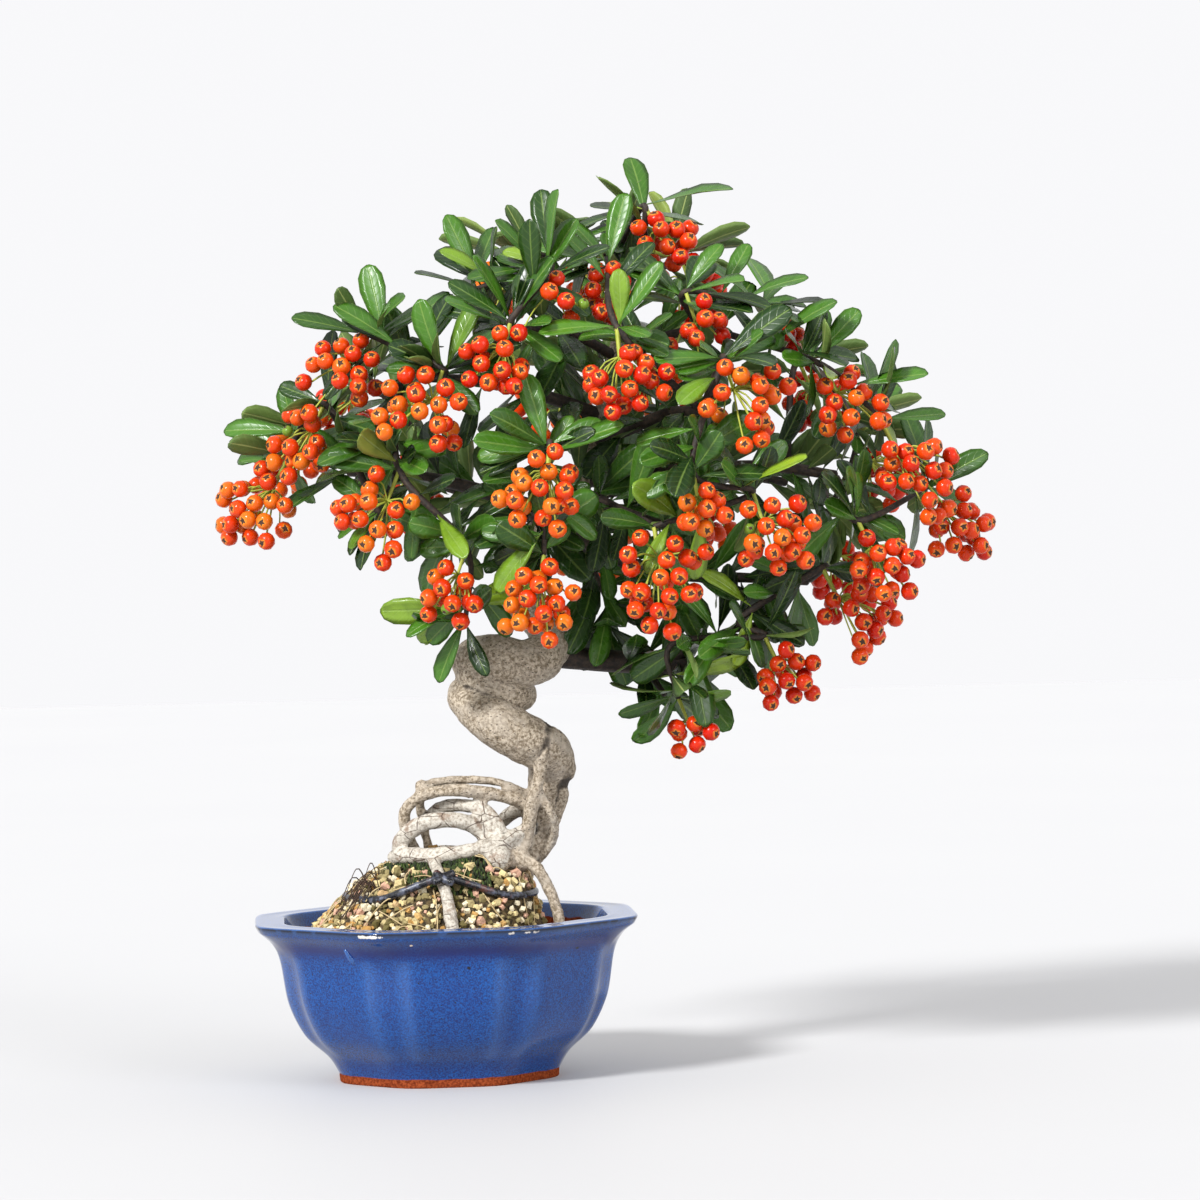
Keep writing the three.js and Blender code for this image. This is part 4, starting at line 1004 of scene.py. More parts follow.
def glaze_at(x, y, z, radius, is_outside):
    """Where the wall is glazed, where it is paler, from thin glaze at the lip and a painted reflection beside
    the grooves and on the brim, and where shade is painted: a dark line at the lip and the hollows, where the
    glaze also pools.
    """
    glazed = ramp((z - 2.6) / 1.6) if is_outside else ramp((z - 56.5) / 2.5)
    edge = ramp(1 - abs(radius - 75.0) / 0.9) * (z > 62) + ramp(1 - abs(radius - 64.2) / 0.8) * (z > 62)
    # At the lip's edges the glaze runs thin and pales. Beside each groove and on the brim the paler blue is a
    # painted reflection, and at the lip's outer edge a near-black line is painted shade.
    groove_sheen = swell(side_share(math.atan2(y, x))[1], 0.7, 0.12) * is_outside * (12 < z < 52)
    on_brim = z > 63.6 and 65.5 < radius < 74.8
    thin = ramp(0.5 * edge + 0.17 * groove_sheen + 0.3 * on_brim)
    # A near-black line of painted shade along the lip's outer edge.
    breaks = ramp(1.5 - 1.5 * abs(z - 63.05) / 0.9) * (radius > 74.7)
    # The hollow under the rim and above the foot is painted darker as shade, where the glaze also pools.
    pooled = (0.95 * swell(z, 55.5, 3.0) + 0.3 * swell(z, 8, 3.0)) * is_outside
    return glazed, thin, breaks, pooled


glazing = []
for vertex in pot.data.vertices:
    x, y, z = (np.array(vertex.co) - POT_MIDDLE) * 1000
    place, radius, is_outside = pressed(x, y, z)
    glazing.append(glaze_at(x, y, z, radius, is_outside))
    vertex.co = in_frame(place)
for name, values in zip(("glaze", "thin", "breaks", "pooled"), np.transpose(glazing)):
    write_down(pot, name, values)
# A run of glaze that set as a drip under the rim.
RUN = [[-37, -59.9, 56.4, 0.8], [-36, -59.1, 54.2, 1.0], [-34.6, -58.9, 52.3, 1.2], [-33.6, -58.7, 51, 0.9]]
drip = tubes("drip", [blunt(RUN)], 3)
write_down(drip, "glaze", 1.0)
write_down(drip, "thin", 0.25)
dress(pot, glaze)
dress(drip, glaze)
pot = merge([pot, drip], "glazed_pot")
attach(pot, "root")
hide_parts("pot")
print("pot across, mm:", [round(side * 1000, 1) for side in pot.dimensions], " faces:", faces_of(pot))

# %% [markdown]
# ## Bark and roots
# Young pyracantha bark is grey-tan and nearly smooth, with dark specks where it breathes. The exposed roots
# below the coil have weathered to cream, and old bark clings to them in brown cracks. One finish covers
# both: attributes tell how bleached the wood is and how deep it lies in the crease between two limbs, where
# the finish paints shade.

# %% Bark
bark, tree, shader = new_finish("pyracantha bark and bleached roots")
here = add(tree, "TexCoord")
pale, crease = [add(tree, "Attribute", attribute_name=name) for name in ("pale", "crease")]
patches = add(tree, "TexNoise", here, per_mm(9), 4, 0.6)
fibres = add(tree, "TexNoise", here, per_mm(1.3), 4, 0.65)
clinging = add(tree, "TexNoise", here, per_mm(5), 4, 0.6)
# Specks and cracks are wider than they are high.
specks = add(tree, "TexVoronoi", add(tree, "Mapping", here, (1, 1, 1.8)), per_mm(2.1))
cracks = add(tree, "TexVoronoi", add(tree, "Mapping", here, (1, 1, 1.7)), per_mm(11),
             feature="DISTANCE_TO_EDGE")
cracks = add(tree, "Math", cracks, add(tree, "Math", patches, 0.12), operation="ADD")
cracked = add(tree, "Math", add(tree, "MapRange", cracks, 0.1, 0.07),
              add(tree, "MapRange", patches, 0.4, 0.54, 0.2, 0.95))
brown = lay(tree, "#6b5d49", ("#b8ab98", fibres, 0.36, 0.66), ("#a79d8f", patches, 0.42, 0.7, 0, 0.7))
cream = lay(tree, "#81776a", ("#bfb9ad", fibres, 0.3, 0.6), ("#7a6350", clinging, 0.54, 0.66, 0, 0.75),
            ("#3d291b", cracked))
bleached = add(tree, "MapRange", add(tree, "Math", pale, add(tree, "Math", patches, 0.55), operation="ADD"),
               0.62, 0.86)
# Bleached wood has nearly lost its specks.
speckled = add(tree, "Math", add(tree, "MapRange", specks, 0.24, 0.12),
               add(tree, "MapRange", bleached, 0, 1, 0.85, 0.15))
# The dark coat in the creases between limbs is painted shade.
wood_colour = lay(tree, add(tree, "Mix", bleached, brown, cream),
                  ("#2b2019", speckled), ("#1f150d", crease, 0.35, 0.95, 0, 0.9))
height = add(tree, "Math", fibres, add(tree, "Math", add(tree, "MapRange", cracks, 0.0, 0.08), 0.5),
             operation="ADD")
set_inputs(shader, {"Base Color": wood_colour, "Normal": add(tree, "Bump", height, 0.0006, 0.6),
                    "Roughness": 0.78})
print("nodes of the bark:", len(tree.nodes))

# %% Twig bark
# Young bark is nearly black, fine-grained and hardly shines.
twig_bark, tree, shader = new_finish("dark bark of twigs and branches")
grain = add(tree, "TexNoise", add(tree, "TexCoord"), per_mm(1.6), 4, 0.6)
set_inputs(shader, {"Base Color": lay(tree, "#17100b", ("#3c2e22", grain, 0.35, 0.7)),
                    "Normal": add(tree, "Bump", grain, 0.0004, 0.5), "Roughness": 0.7})
print("nodes of the twig bark:", len(tree.nodes))

# %% [markdown]
# ## The coiled trunk
# Where limbs of a living tree press together they grow into one, with a crease between. So the tubes of
# coil, leader and roots are fused by a fine voxel remesh, smoothed a little, and made uneven with two noise
# displacements: slow swellings and small bumps. Knobs are swollen knees of the roots.

# %% Fuse the limbs
# Metres. Finer voxels would show no more of the creases.
VOXEL = 0.0011
# A knob's ball is a little smaller than the knob, which swells with the noise.
KNOB_SHARE = 0.92
# Name, size and height in millimetres of what makes the wood uneven.
UNEVEN = [["swellings", 12, 1.0], ["bumps", 3, 0.45]]
BARE = {**{"coil_" + name: stops for name, stops in COIL.items()}, "leader": LEADER, **ROOTS}
trunk = tubes("trunk", [blunt(limb_path(stops)) for stops in BARE.values()], roundness=4)
for *place, radius in KNOBS:
    reach = radius / 1000 * KNOB_SHARE
    bpy.ops.mesh.primitive_ico_sphere_add(subdivisions=3, radius=reach, location=in_frame(place))
    bpy.ops.object.transform_apply()
    trunk = merge([trunk, bpy.context.object], "trunk")
fuse = trunk.modifiers.new("fuse", "REMESH")
fuse.mode = "VOXEL"
fuse.voxel_size = VOXEL
soften = trunk.modifiers.new("soften", "SMOOTH")
soften.factor = 0.5
soften.iterations = 3
for name, size, strength in UNEVEN:
    pattern = bpy.data.textures.new(name, "CLOUDS")
    pattern.noise_scale = size / 1000
    pattern.noise_depth = 2
    push = trunk.modifiers.new(name, "DISPLACE")
    push.texture = pattern
    push.texture_coords = "LOCAL"
    push.strength = strength / 1000
    push.mid_level = 0.5
take_up(trunk)
for name in [modifier.name for modifier in trunk.modifiers]:
    bpy.ops.object.modifier_apply(modifier=name)
bpy.ops.object.shade_smooth()
print("trunk's faces:", faces_of(trunk))

# %% Bleached wood and creases
# How bleached each limb is. Limbs not named here are bark.
PALE = {"strand_left": 0.15, "strand_right": 0.2, "strand_thin": 0.4, "loop_top": 0.15, "loop_low": 0.25,
        "loop_inner": 0.75, "loop_white": 0.95, "base_ring": 1.0, "loop_behind": 0.6, "back_root": 0.7,
        "right_root": 0.3, "front_root": 0.9, "coil_foot": 0.1}
# Wood bleaches below this height, and fully this much further down.
BLEACH_HEIGHT, BLEACH_DEPTH = 118, 14
CREASE_SINKS = 0.9
# Beads nearer than this along one limb are its own, and form no crease with each other.
SAME_LIMB = 30
AT_ONCE = 4000


def lie_of(points, chains):
    """For each point the nearest chain of beads, and how near the next limb is, from 0 to 1."""
    strings = [beads(stops, 3) for stops in chains.values()]
    stringed = np.vstack(strings)
    chain = np.concatenate([np.full(len(string), i) for i, string in enumerate(strings)])
    along = np.concatenate([np.cumsum(np.append(0, np.linalg.norm(np.diff(string[:, :3], axis=0), axis=1)))
                            for string in strings])
    kin = (chain[:, None] == chain) & (np.abs(along[:, None] - along) < SAME_LIMB)
    # Each part of the coil follows on from the one before, and so does the leader.
    parts = len(COIL) + 1
    follows = (chain < parts)[:, None] & (chain < parts) & (np.abs(chain[:, None] - chain) == 1)
    apart = np.linalg.norm(stringed[:, None, :3] - stringed[None, :, :3], axis=2)
    kin |= follows & (apart < 0.72 * (stringed[:, None, 3] + stringed[:, 3]))
    # A crease beside a thin limb is narrower than one between thick limbs.
    reach_of = np.clip(0.26 * stringed[:, 3], 0.7, 1.8)
    nearest, depth = [], []
    for start in range(0, len(points), AT_ONCE):
        some = points[start:start + AT_ONCE]
        gap = np.linalg.norm(some[:, None] - stringed[None, :, :3], axis=2) - stringed[:, 3]
        best = gap.argmin(axis=1)
        next_gap = np.where(kin[best], 99.0, gap).min(axis=1)
        nearest.append(chain[best])
        depth.append(np.clip(1 - next_gap / reach_of[best], 0, 1))
    return np.concatenate(nearest), np.concatenate(depth)


corners = (numbers(trunk.data.vertices, "co", 3) - POT_MIDDLE) * 1000
nearest, depth = lie_of(corners, BARE)
sunk = corners - numbers(trunk.data.vertices, "normal", 3) * (depth ** 2 * CREASE_SINKS)[:, None]
trunk.data.vertices.foreach_set("co", in_frame(sunk).ravel())
paleness = np.array([PALE.get(name, 0.0) for name in BARE])[nearest]
low_wood = np.clip((BLEACH_HEIGHT - corners[:, 2]) / BLEACH_DEPTH, 0, 1)
write_down(trunk, "pale", paleness * (0.35 + 0.65 * low_wood))
# The same depth paints shade into the creases.
write_down(trunk, "crease", depth)
print("share of the wood in creases:", round(float((depth > 0.4).mean()), 3))

# %% Branches
branches = tubes("branches", [blunt(limb_path(stops, 3)) for stops in BRANCHES.values()], 2)
dress(trunk, bark)
dress(branches, twig_bark)
trunk = merge([trunk, branches], "trunk_roots_branches")
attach(trunk, "root")
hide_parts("trunk")
print("faces with branches:", faces_of(trunk), " finishes:", [slot.name for slot in trunk.data.materials])

# %% [markdown]
# ## The tie
# A black plastic strap holds the root ball down. It lies round the mound, rises over the front root and is
# twisted into a knot there.

# %% Mound
FILL_HEIGHT, MOUND_HEIGHT, MOUND_X = 50, 39, -4


def mound_side(cosine):
    """How far the mound reaches this way, and how steeply it falls there: steeper on the right."""
    return 50 - 6 * cosine, 2.2 + 6.8 * max(0, cosine) ** 3 - 0.4 * max(0, -cosine)


def mound(x, y):
    """Height of the soil."""
    away = math.hypot(x - MOUND_X, y)
    reach, steepness = mound_side((x - MOUND_X) / away if away else 0)
    return FILL_HEIGHT + MOUND_HEIGHT * (1 - min(1, away / reach) ** steepness)


print("height of the mound, mm:", mound(MOUND_X, 0))

# %% Strap
# Old black plastic is stained here and there by rust and rubbed rough in patches. The blue-grey in those
# patches is painted sheen, and elsewhere it keeps its shine.
strap, tree, shader = new_finish("weathered black strap")
here = add(tree, "TexCoord")
wear_and_sheen = add(tree, "TexNoise", here, per_mm(3), 4, 0.65)
rust = add(tree, "TexNoise", here, per_mm(5))
# The blue-grey coat is painted sheen, and the red-brown coat is a rust stain.
sheen_and_rust = lay(tree, "#15161a", ("#666c7e", wear_and_sheen, 0.45, 0.7, 0, 0.8), ("#6e4336", rust, 0.56, 0.66, 0, 0.5))
dents = add(tree, "TexNoise", here, per_mm(0.8), 2)
set_inputs(shader, {"Base Color": sheen_and_rust, "Roughness": add(tree, "MapRange", wear_and_sheen, 0.3, 0.7, 0.2, 0.42),
                    "Normal": add(tree, "Bump", dents, 0.0002, 0.4)})

TIE_RADIUS, TIE_DROP, TIE_STOPS = 1.6, 0.44, 20
# The strap starts and ends five degrees beside its knot, and rises to it over a ninth of its length.
KNOT_ANGLE, KNOT_LIFT, KNOT_GAP, RISE_PARTS = -82, 8.5, 5, 9
TIE_TWISTS = [
    [[-3, -1.5, 2.6, 1.5], [0, -1.5, 0, 1.9], [3.4, -3.6, -1.4, 1.4]],
    [[4, 0, 2.2, 1.4], [0, -0.5, 0.4, 2], [-3.4, -3.2, -1, 1.4]],
]


def tie_place(degrees, lift):
    cosine = math.cos(math.radians(degrees))
    reach, steepness = mound_side(cosine)
    reach = reach * TIE_DROP ** (1 / steepness)
    x, y = MOUND_X + cosine * reach, math.sin(math.radians(degrees)) * reach
    return np.array([x, y, mound(x, y) + TIE_RADIUS / 2 + lift])


loop = []
for i in range(TIE_STOPS + 1):
    share = i / TIE_STOPS
    near_knot = max(0, 1 - min(share, 1 - share) * RISE_PARTS)
    turn = KNOT_ANGLE + KNOT_GAP + (360 - 2 * KNOT_GAP) * share
    loop.append([*tie_place(turn, KNOT_LIFT * near_knot), TIE_RADIUS])
knot = tie_place(KNOT_ANGLE, KNOT_LIFT)
twists = [[[*(knot + stop[:3]), stop[3]] for stop in path] for path in TIE_TWISTS]
tie = tubes("tie_strap", [blunt(limb_path(path, 2)) for path in [loop, *twists]], 3)
dress(tie, strap)
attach(tie, "root")
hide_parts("tie")
print("knot at, mm:", np.round(knot, 1), " faces:", faces_of(tie))

# %% [markdown]
# ## Soil, net and grit
# Under the grit lies dark soil, and over the drain hole a plastic net. Both keep their solids. The surface is
# crushed fired clay and pumice in grains of two to five millimetres. Each grain is a small rounded block,
# modelled twice in different shapes and set over the mound with the earth dark between the grains.

# %% Soil and net
# Damp soil is dull and crumbly, and it is what shows between the grains.
soil_finish, tree, shader = new_finish("dark potting soil")
crumbs = add(tree, "TexNoise", add(tree, "TexCoord"), per_mm(1.8), 4, 0.7)
set_inputs(shader, {"Base Color": lay(tree, "#211a0e", ("#665536", crumbs, 0.35, 0.65)),
                    "Normal": add(tree, "Bump", crumbs, 0.0015, 0.8), "Roughness": 0.95})
dress(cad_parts["soil"], soil_finish)

# Moulded plastic has an even, weak sheen under its dust.
net_finish, tree, shader = new_finish("black moulded plastic net")
here = add(tree, "TexCoord")
rubbed = add(tree, "MapRange", add(tree, "TexNoise", here, per_mm(2)), 0.3, 0.7, 0.42, 0.62)
dusty = add(tree, "TexNoise", here, per_mm(4), 2)
set_inputs(shader, {"Base Color": add(tree, "Mix", dusty, "#17181a", "#26282a"), "Roughness": rubbed})
dress(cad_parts["drain_mesh"], net_finish)
print("soil and net are dressed")

# %% Grain of grit
# Dull and porous, from olive and cream to tan, white pumice and pink brick, by the tone of each grain.
grit_finish, tree, shader = new_finish("fired clay and pumice grit")
tone = add(tree, "Attribute", attribute_name="tone")
pores = add(tree, "TexNoise", add(tree, "TexCoord"), per_mm(0.9), 3, 0.7)
grain_colour = lay(tree, "#544c20", ("#d2c08c", tone, 0.0, 0.4), ("#b3894a", tone, 0.44, 0.5),
                   ("#ddd2b4", tone, 0.6, 0.7), ("#c49a82", tone, 0.86, 0.9),
                   ("#5a4630", pores, 0.5, 0.3, 0, 0.6))
set_inputs(shader, {"Base Color": grain_colour, "Normal": add(tree, "Bump", pores, 0.0004, 0.6),
                    "Roughness": 0.92})


def grain_master(name, seed):
    """A block that is subdivided once, rounded and knocked out of true. Its radius is about 1."""
    draw = draws(seed)
    deselect_all()
    bpy.ops.mesh.primitive_cube_add(size=1.4)
    master = bpy.context.object
    master.name = name
    edit(master)
    bpy.ops.mesh.subdivide(number_cuts=1)
    bpy.ops.transform.tosphere(value=0.4)
    bpy.ops.object.mode_set(mode="OBJECT")
    for vertex in master.data.vertices:
        vertex.co = vertex.co * between([0.72, 1.16], draw())
    return master


grain_masters = [grain_master(f"grain_{i}", 40 + i) for i in range(2)]
print("faces of a grain:", faces_of(grain_masters[0]))

# %% Room on the mound
# Middle and reach of each patch of moss, which grains mostly leave free.
MOSS_PATCHES = [
    [2, -24, 8], [12, -23, 8], [-9, -25, 5], [0, -13, 12], [-14, -9, 9], [-24, 4, 9], [20, 16, 9],
    [-6, 18, 10],
]
MEASURED_AT = 52
root_beads = np.vstack([beads(stops, 2) for stops in [*COIL.values(), *ROOTS.values()]])
root_beads = np.vstack([root_beads, KNOBS, beads(loop, 2)])


def wall_reach(x, y):
    """Share of the way from the pot's middle to its inner wall."""
    return math.hypot(x, y) / side_offset(math.atan2(y, x), *level(POT_INSIDE, MEASURED_AT))


def in_wood(place, radius):
    """Whether a ball would go into roots, trunk or strap."""
    return (np.linalg.norm(root_beads[:, :3] - place, axis=1) < root_beads[:, 3] + radius).any()


def turned_by(draw, *turns):
    """A rotation drawn at random. Each turn is its axis and the most that it turns by."""
    rotation = Matrix.Identity(3)
    for axis, most in turns:
        rotation = rotation @ Matrix.Rotation(draw() * most, 3, axis)
    return np.array(rotation)


print("the pot is full at share:", round(wall_reach(0, -50), 3))

# %% Lay the grit
GRAIN_TRIES, GRAIN_RADIUS, GRAIN_SQUASH = 14000, [0.9, 2.4], [1.15, 0.95, 0.8]
# About how far the wall is from the middle.
WALL_AWAY = 60
MOSS_KEEPS = 0.75
ANY_WAY = (("Z", math.tau), ("X", math.tau), ("Y", math.tau))
draw = draws(7)
grains = []
placed = np.zeros((0, 2))
for _ in range(GRAIN_TRIES):
    x, y = (draw() * 2 - 1) * WALL_AWAY, (draw() * 2 - 1) * WALL_AWAY
    radius = between(GRAIN_RADIUS, draw() ** 1.2)
    mossy = any(math.hypot(x - px, y - py) < reach for px, py, reach in MOSS_PATCHES)
    if wall_reach(x, y) > 0.985 - radius / WALL_AWAY or mossy and draw() < MOSS_KEEPS:
        continue
    # Grains lie closer in plan where the mound is steep.
    slope = math.hypot(mound(x + 1, y) - mound(x, y), mound(x, y + 1) - mound(x, y))
    apart = (1.15 + 0.9 * radius) / math.sqrt(1 + min(slope, 2) ** 2)
    if len(placed) and (np.hypot(*(placed - (x, y)).T) < apart).any():
        continue
    place = np.array([x, y, mound(x, y) + 0.5 * radius])
    if in_wood(place, radius * 0.55):
        continue
    placed = np.vstack([placed, (x, y)])
    grains.append((place, radius, turned_by(draw, *ANY_WAY), draw()))
piles = []
for i, master in enumerate(grain_masters):
    shape = numbers(master.data.vertices, "co", 3) * GRAIN_SQUASH
    mine = grains[i::2]
    shapes = [shape @ turn.T * radius + place for place, radius, turn, _ in mine]
    piles.append(repeat("grit", master, shapes, [tone for *_, tone in mine], smooth=False))
grit_pile = merge(piles, "grit")
dress(grit_pile, grit_finish)
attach(grit_pile, "root")
for master in grain_masters:
    bpy.data.objects.remove(master)
print("grains:", len(grains), " faces:", faces_of(grit_pile))

# %% [markdown]
# ## Moss, straw and hair roots
# Moss has crept over the damp crown of the mound, bits of straw lie between the grains, and fine dark
# roots hang at the left of the loops. Moss is many small pointed tufts, and the rest are thin tubes.

# %% Moss
TUFTS_TO_PATCH, TUFT_WIDTH, TUFT_HEIGHT, TUFT_LEAN = 3.4, 0.7, [1.2, 2.6], 0.5
# Damp moss is soft and dull, nearly black in its depth and green where new tips stand up.
moss_finish, tree, shader = new_finish("damp moss")
mossy = add(tree, "Mix", add(tree, "Attribute", attribute_name="tone"), "#0b1206", "#3e511c")
set_inputs(shader, {"Base Color": mossy, "Roughness": 0.9})

deselect_all()
bpy.ops.mesh.primitive_cone_add(vertices=5, radius1=1, radius2=0.12, depth=1)
tuft = bpy.context.object
edit(tuft, where=lambda vertex: vertex.co.z > 0)
bpy.ops.transform.translate(value=(0.25, 0.1, 0))
bpy.ops.object.mode_set(mode="OBJECT")
tuft_shape = numbers(tuft.data.vertices, "co", 3) + [0, 0, 0.5]
draw = draws(21)
shapes, tones = [], []
for x, y, reach in MOSS_PATCHES:
    for _ in range(int(reach * reach * TUFTS_TO_PATCH)):
        away, turn = reach * math.sqrt(draw()), draw() * math.tau
        px, py = x + away * math.cos(turn), y + away * math.sin(turn)
        place = np.array([px, py, mound(px, py) + 0.4])
        if in_wood(place, 0.3):
            continue
        lean = turned_by(draw, ("Z", math.tau), ("X", TUFT_LEAN))
        size = [TUFT_WIDTH, TUFT_WIDTH, between(TUFT_HEIGHT, draw())]
        shapes.append(tuft_shape * size @ lean.T + place)
        tones.append(draw())
moss = repeat("moss", tuft, shapes, tones)
bpy.data.objects.remove(tuft)
dress(moss, moss_finish)
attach(moss, "root")
print("tufts:", len(shapes), " faces:", faces_of(moss))

# %% Straw and hair roots
STRAW_TRIES, STRAW_LENGTH, STRAW_RADIUS = 170, [6, 16], 0.28
HAIR_COUNT, HAIR_RADII = 18, (0.3, 0.24, 0.18)
draw = draws(33)
straws, hairs = [], []
for _ in range(STRAW_TRIES):
    turn, away, way = draw() * math.tau, 12 + 40 * math.sqrt(draw()), draw() * math.tau
    x, y, length = away * math.cos(turn), away * math.sin(turn), between(STRAW_LENGTH, draw())
    bend = (draw() - 0.5) * 1.4
    path = []
    for share in (0, 0.33, 0.66, 1):
        heading = way + bend * share
        px, py = x + length * share * math.cos(heading), y + length * share * math.sin(heading)
        if wall_reach(px, py) < 0.95:
            lift = 2.2 + 1.2 * math.sin(share * math.pi) * draw()
            path.append([px, py, mound(px, py) + lift, STRAW_RADIUS])
    if len(path) == 4:
        straws.append(limb_path(path, 2))
for _ in range(HAIR_COUNT):
    x, y = -24 - 8 * draw(), -14 + 20 * (draw() - 0.5)
    top = np.array([x, y, mound(x, y) + 1])
    middle = top + [-5 * draw(), -4 * draw(), 2 + 4 * draw()]
    foot = np.array([x - 6 - 10 * draw(), y - 8 * draw(), 0])
    foot[2] = mound(*foot[:2]) + 1.5 + 2.5 * draw()
    hairs.append(limb_path([[*place, radius] for place, radius in zip((top, middle, foot), HAIR_RADII)], 2))
# Straw has dried pale, and hair roots stay dark and dull.
straw, hair = tubes("straw", straws, 0), tubes("hair_roots", hairs, 0)
dress(straw, mottled("dry straw", 4, "#7d6236", "#d9c79a", 0.8))
dress(hair, mottled("dark hair roots", 4, "#20150e", "#4a3424", 0.8))
for piece in (straw, hair):
    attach(piece, "root")
print("straws:", len(straws), " hair roots:", len(hairs))

# %% [markdown]
# ## Leaves
# A pyracantha leaf is a narrow leathery oval, 20 to 35 mm long, glossy and dark above with a paler midrib,
# dull and paler below. One leaf is modelled flat as a grid whose edge narrows to a stalk, with a second
# skin underneath. Each copy is then bent: folded along its midrib, arched towards its tip and waved.

# %% Leaf finishes
SIDE_VEINS = 9


def leaf_finish(name, dark, fresh, young, rib, roughness, rib_share):
    """A leaf's skin. Its tone runs from old and dark to fresh, and the last bit is young and yellow."""
    finish, tree, shader = new_finish(name)
    spot = add(tree, "SeparateXYZ", add(tree, "UVMap", uv_map="leaf")).node
    tone = add(tree, "Attribute", attribute_name="tone")
    here = add(tree, "TexCoord")
    # From 0 at the midrib to 1 at the edge.
    aside = add(tree, "Math", spot.outputs["X"], 0.5, operation="SUBTRACT")
    aside = add(tree, "Math", add(tree, "Math", aside, operation="ABSOLUTE"), 2)
    # Side veins leave the midrib forwards.
    lines = add(tree, "Math", add(tree, "Math", spot.outputs["Y"], SIDE_VEINS), add(tree, "Math", aside, 1.6),
                operation="SUBTRACT")
    veins = add(tree, "MapRange", add(tree, "Math", lines, 0.5, operation="PINGPONG"), 0.0, 0.14, 1, 0)
    midrib = add(tree, "MapRange", aside, 0.03, 0.11, 1, 0)
    colour = lay(tree, dark, (fresh, tone, 0.0, 0.86), (young, tone, 0.93, 1.0),
                 (dark, add(tree, "TexNoise", here, per_mm(6)), 0.4, 0.8, 0, 0.35),
                 (rib, add(tree, "Math", veins, 0.1)), (rib, add(tree, "Math", midrib, rib_share)),
                 (rib, aside, 0.9, 0.99, 0, 0.3))
    rough = add(tree, "MapRange", add(tree, "TexNoise", here, per_mm(4), 2), 0.3, 0.7,
                roughness, roughness + 0.14)
    height = add(tree, "Math", add(tree, "Math", midrib, -1), add(tree, "Math", veins, -0.25),
                 operation="ADD")
    set_inputs(shader, {"Base Color": colour, "Roughness": rough, "IOR": 1.45,
                        "Normal": add(tree, "Bump", height, 0.0003, 0.5)})
    return finish


leaf_upper = leaf_finish("glossy upper side of a leaf", "#102a08", "#3d6a16", "#86a22a", "#7d9848", 0.24, 0.4)
leaf_under = leaf_finish("dull underside of a leaf", "#3c5522", "#647c38", "#8f9a3e", "#93a05c", 0.55, 0.8)
print("leaf finishes:", leaf_upper.name, "and", leaf_under.name)

# %% One flat leaf
# Share of the half width at each share of the length, from the stalk to the tip.
LEAF_EDGE = [
    [0, 0.06], [0.08, 0.08], [0.2, 0.3], [0.35, 0.64], [0.5, 0.88], [0.66, 1.04], [0.8, 1.04], [0.9, 0.86],
    [0.965, 0.55], [1, 0.12],
]
LEAF_ROWS = [0, 0.09, 0.22, 0.42, 0.66, 0.84, 0.955, 1]
LEAF_COLUMNS = 4

deselect_all()
bpy.ops.mesh.primitive_grid_add(x_subdivisions=LEAF_COLUMNS, y_subdivisions=len(LEAF_ROWS) - 1, size=2)
leaf_master = bpy.context.object
rows = sorted({round(vertex.co.y, 4) for vertex in leaf_master.data.vertices})
for vertex in leaf_master.data.vertices:
    vertex.co.y = LEAF_ROWS[min(range(len(rows)), key=lambda i: abs(rows[i] - vertex.co.y))]
edit(leaf_master)
bpy.ops.mesh.duplicate()
bpy.ops.mesh.flip_normals()
bpy.ops.object.mode_set(mode="OBJECT")
# The copy is still selected: it becomes the underside, and all of it but its edge is let down.
for face in leaf_master.data.polygons:
    face.material_index = 1 if face.select else 0
for vertex in leaf_master.data.vertices:
    if vertex.select and abs(vertex.co.x) < 0.99 and 0.01 < vertex.co.y < 0.99:
        vertex.co.z = -1
edit(leaf_master)
bpy.ops.mesh.remove_doubles(threshold=0.001)
bpy.ops.object.mode_set(mode="OBJECT")
flat = leaf_master.data
flat_places = numbers(flat.vertices, "co", 3)
corner_of_loop = numbers(flat.loops, "vertex_index", 1, int)
flat.uv_layers[0].data.foreach_set("uv", (flat_places[corner_of_loop][:, :2] * [0.5, 1] + [0.5, 0]).ravel())
upper_faces = sum(face.material_index == 0 for face in flat.polygons)
print("faces of a leaf:", faces_of(leaf_master), " quads of its upper side:", upper_faces)

# %% Bend a leaf
LEAF_THICK = 0.35


def bent(leaf, draw):
    """The flat leaf's corners in a leaf's place."""
    across, along, skin = flat_places.T
    width = leaf["width"] / 2 * np.interp(along, *np.array(LEAF_EDGE).T)
    x, y = across * width, along * leaf["length"]
    wave, phase, sway = between([0.1, 0.5], draw()), draw() * 6.3, (draw() - 0.5) * 0.16
    z = LEAF_FOLD * between([0.7, 1.3], draw()) * np.abs(x) - leaf["arch"] * leaf["length"] * along ** 2
    z = z + wave * np.sin(along * 8 + phase) * np.abs(across) + skin * LEAF_THICK
    x = x + sway * leaf["length"] * along ** 2
    upper = square_to(leaf["along"], leaf["upper"] + leaf.get("light", 0) * 0.9)
    side = np.cross(leaf["along"], upper)
    return leaf["root"] + y[:, None] * leaf["along"] + x[:, None] * side + z[:, None] * upper


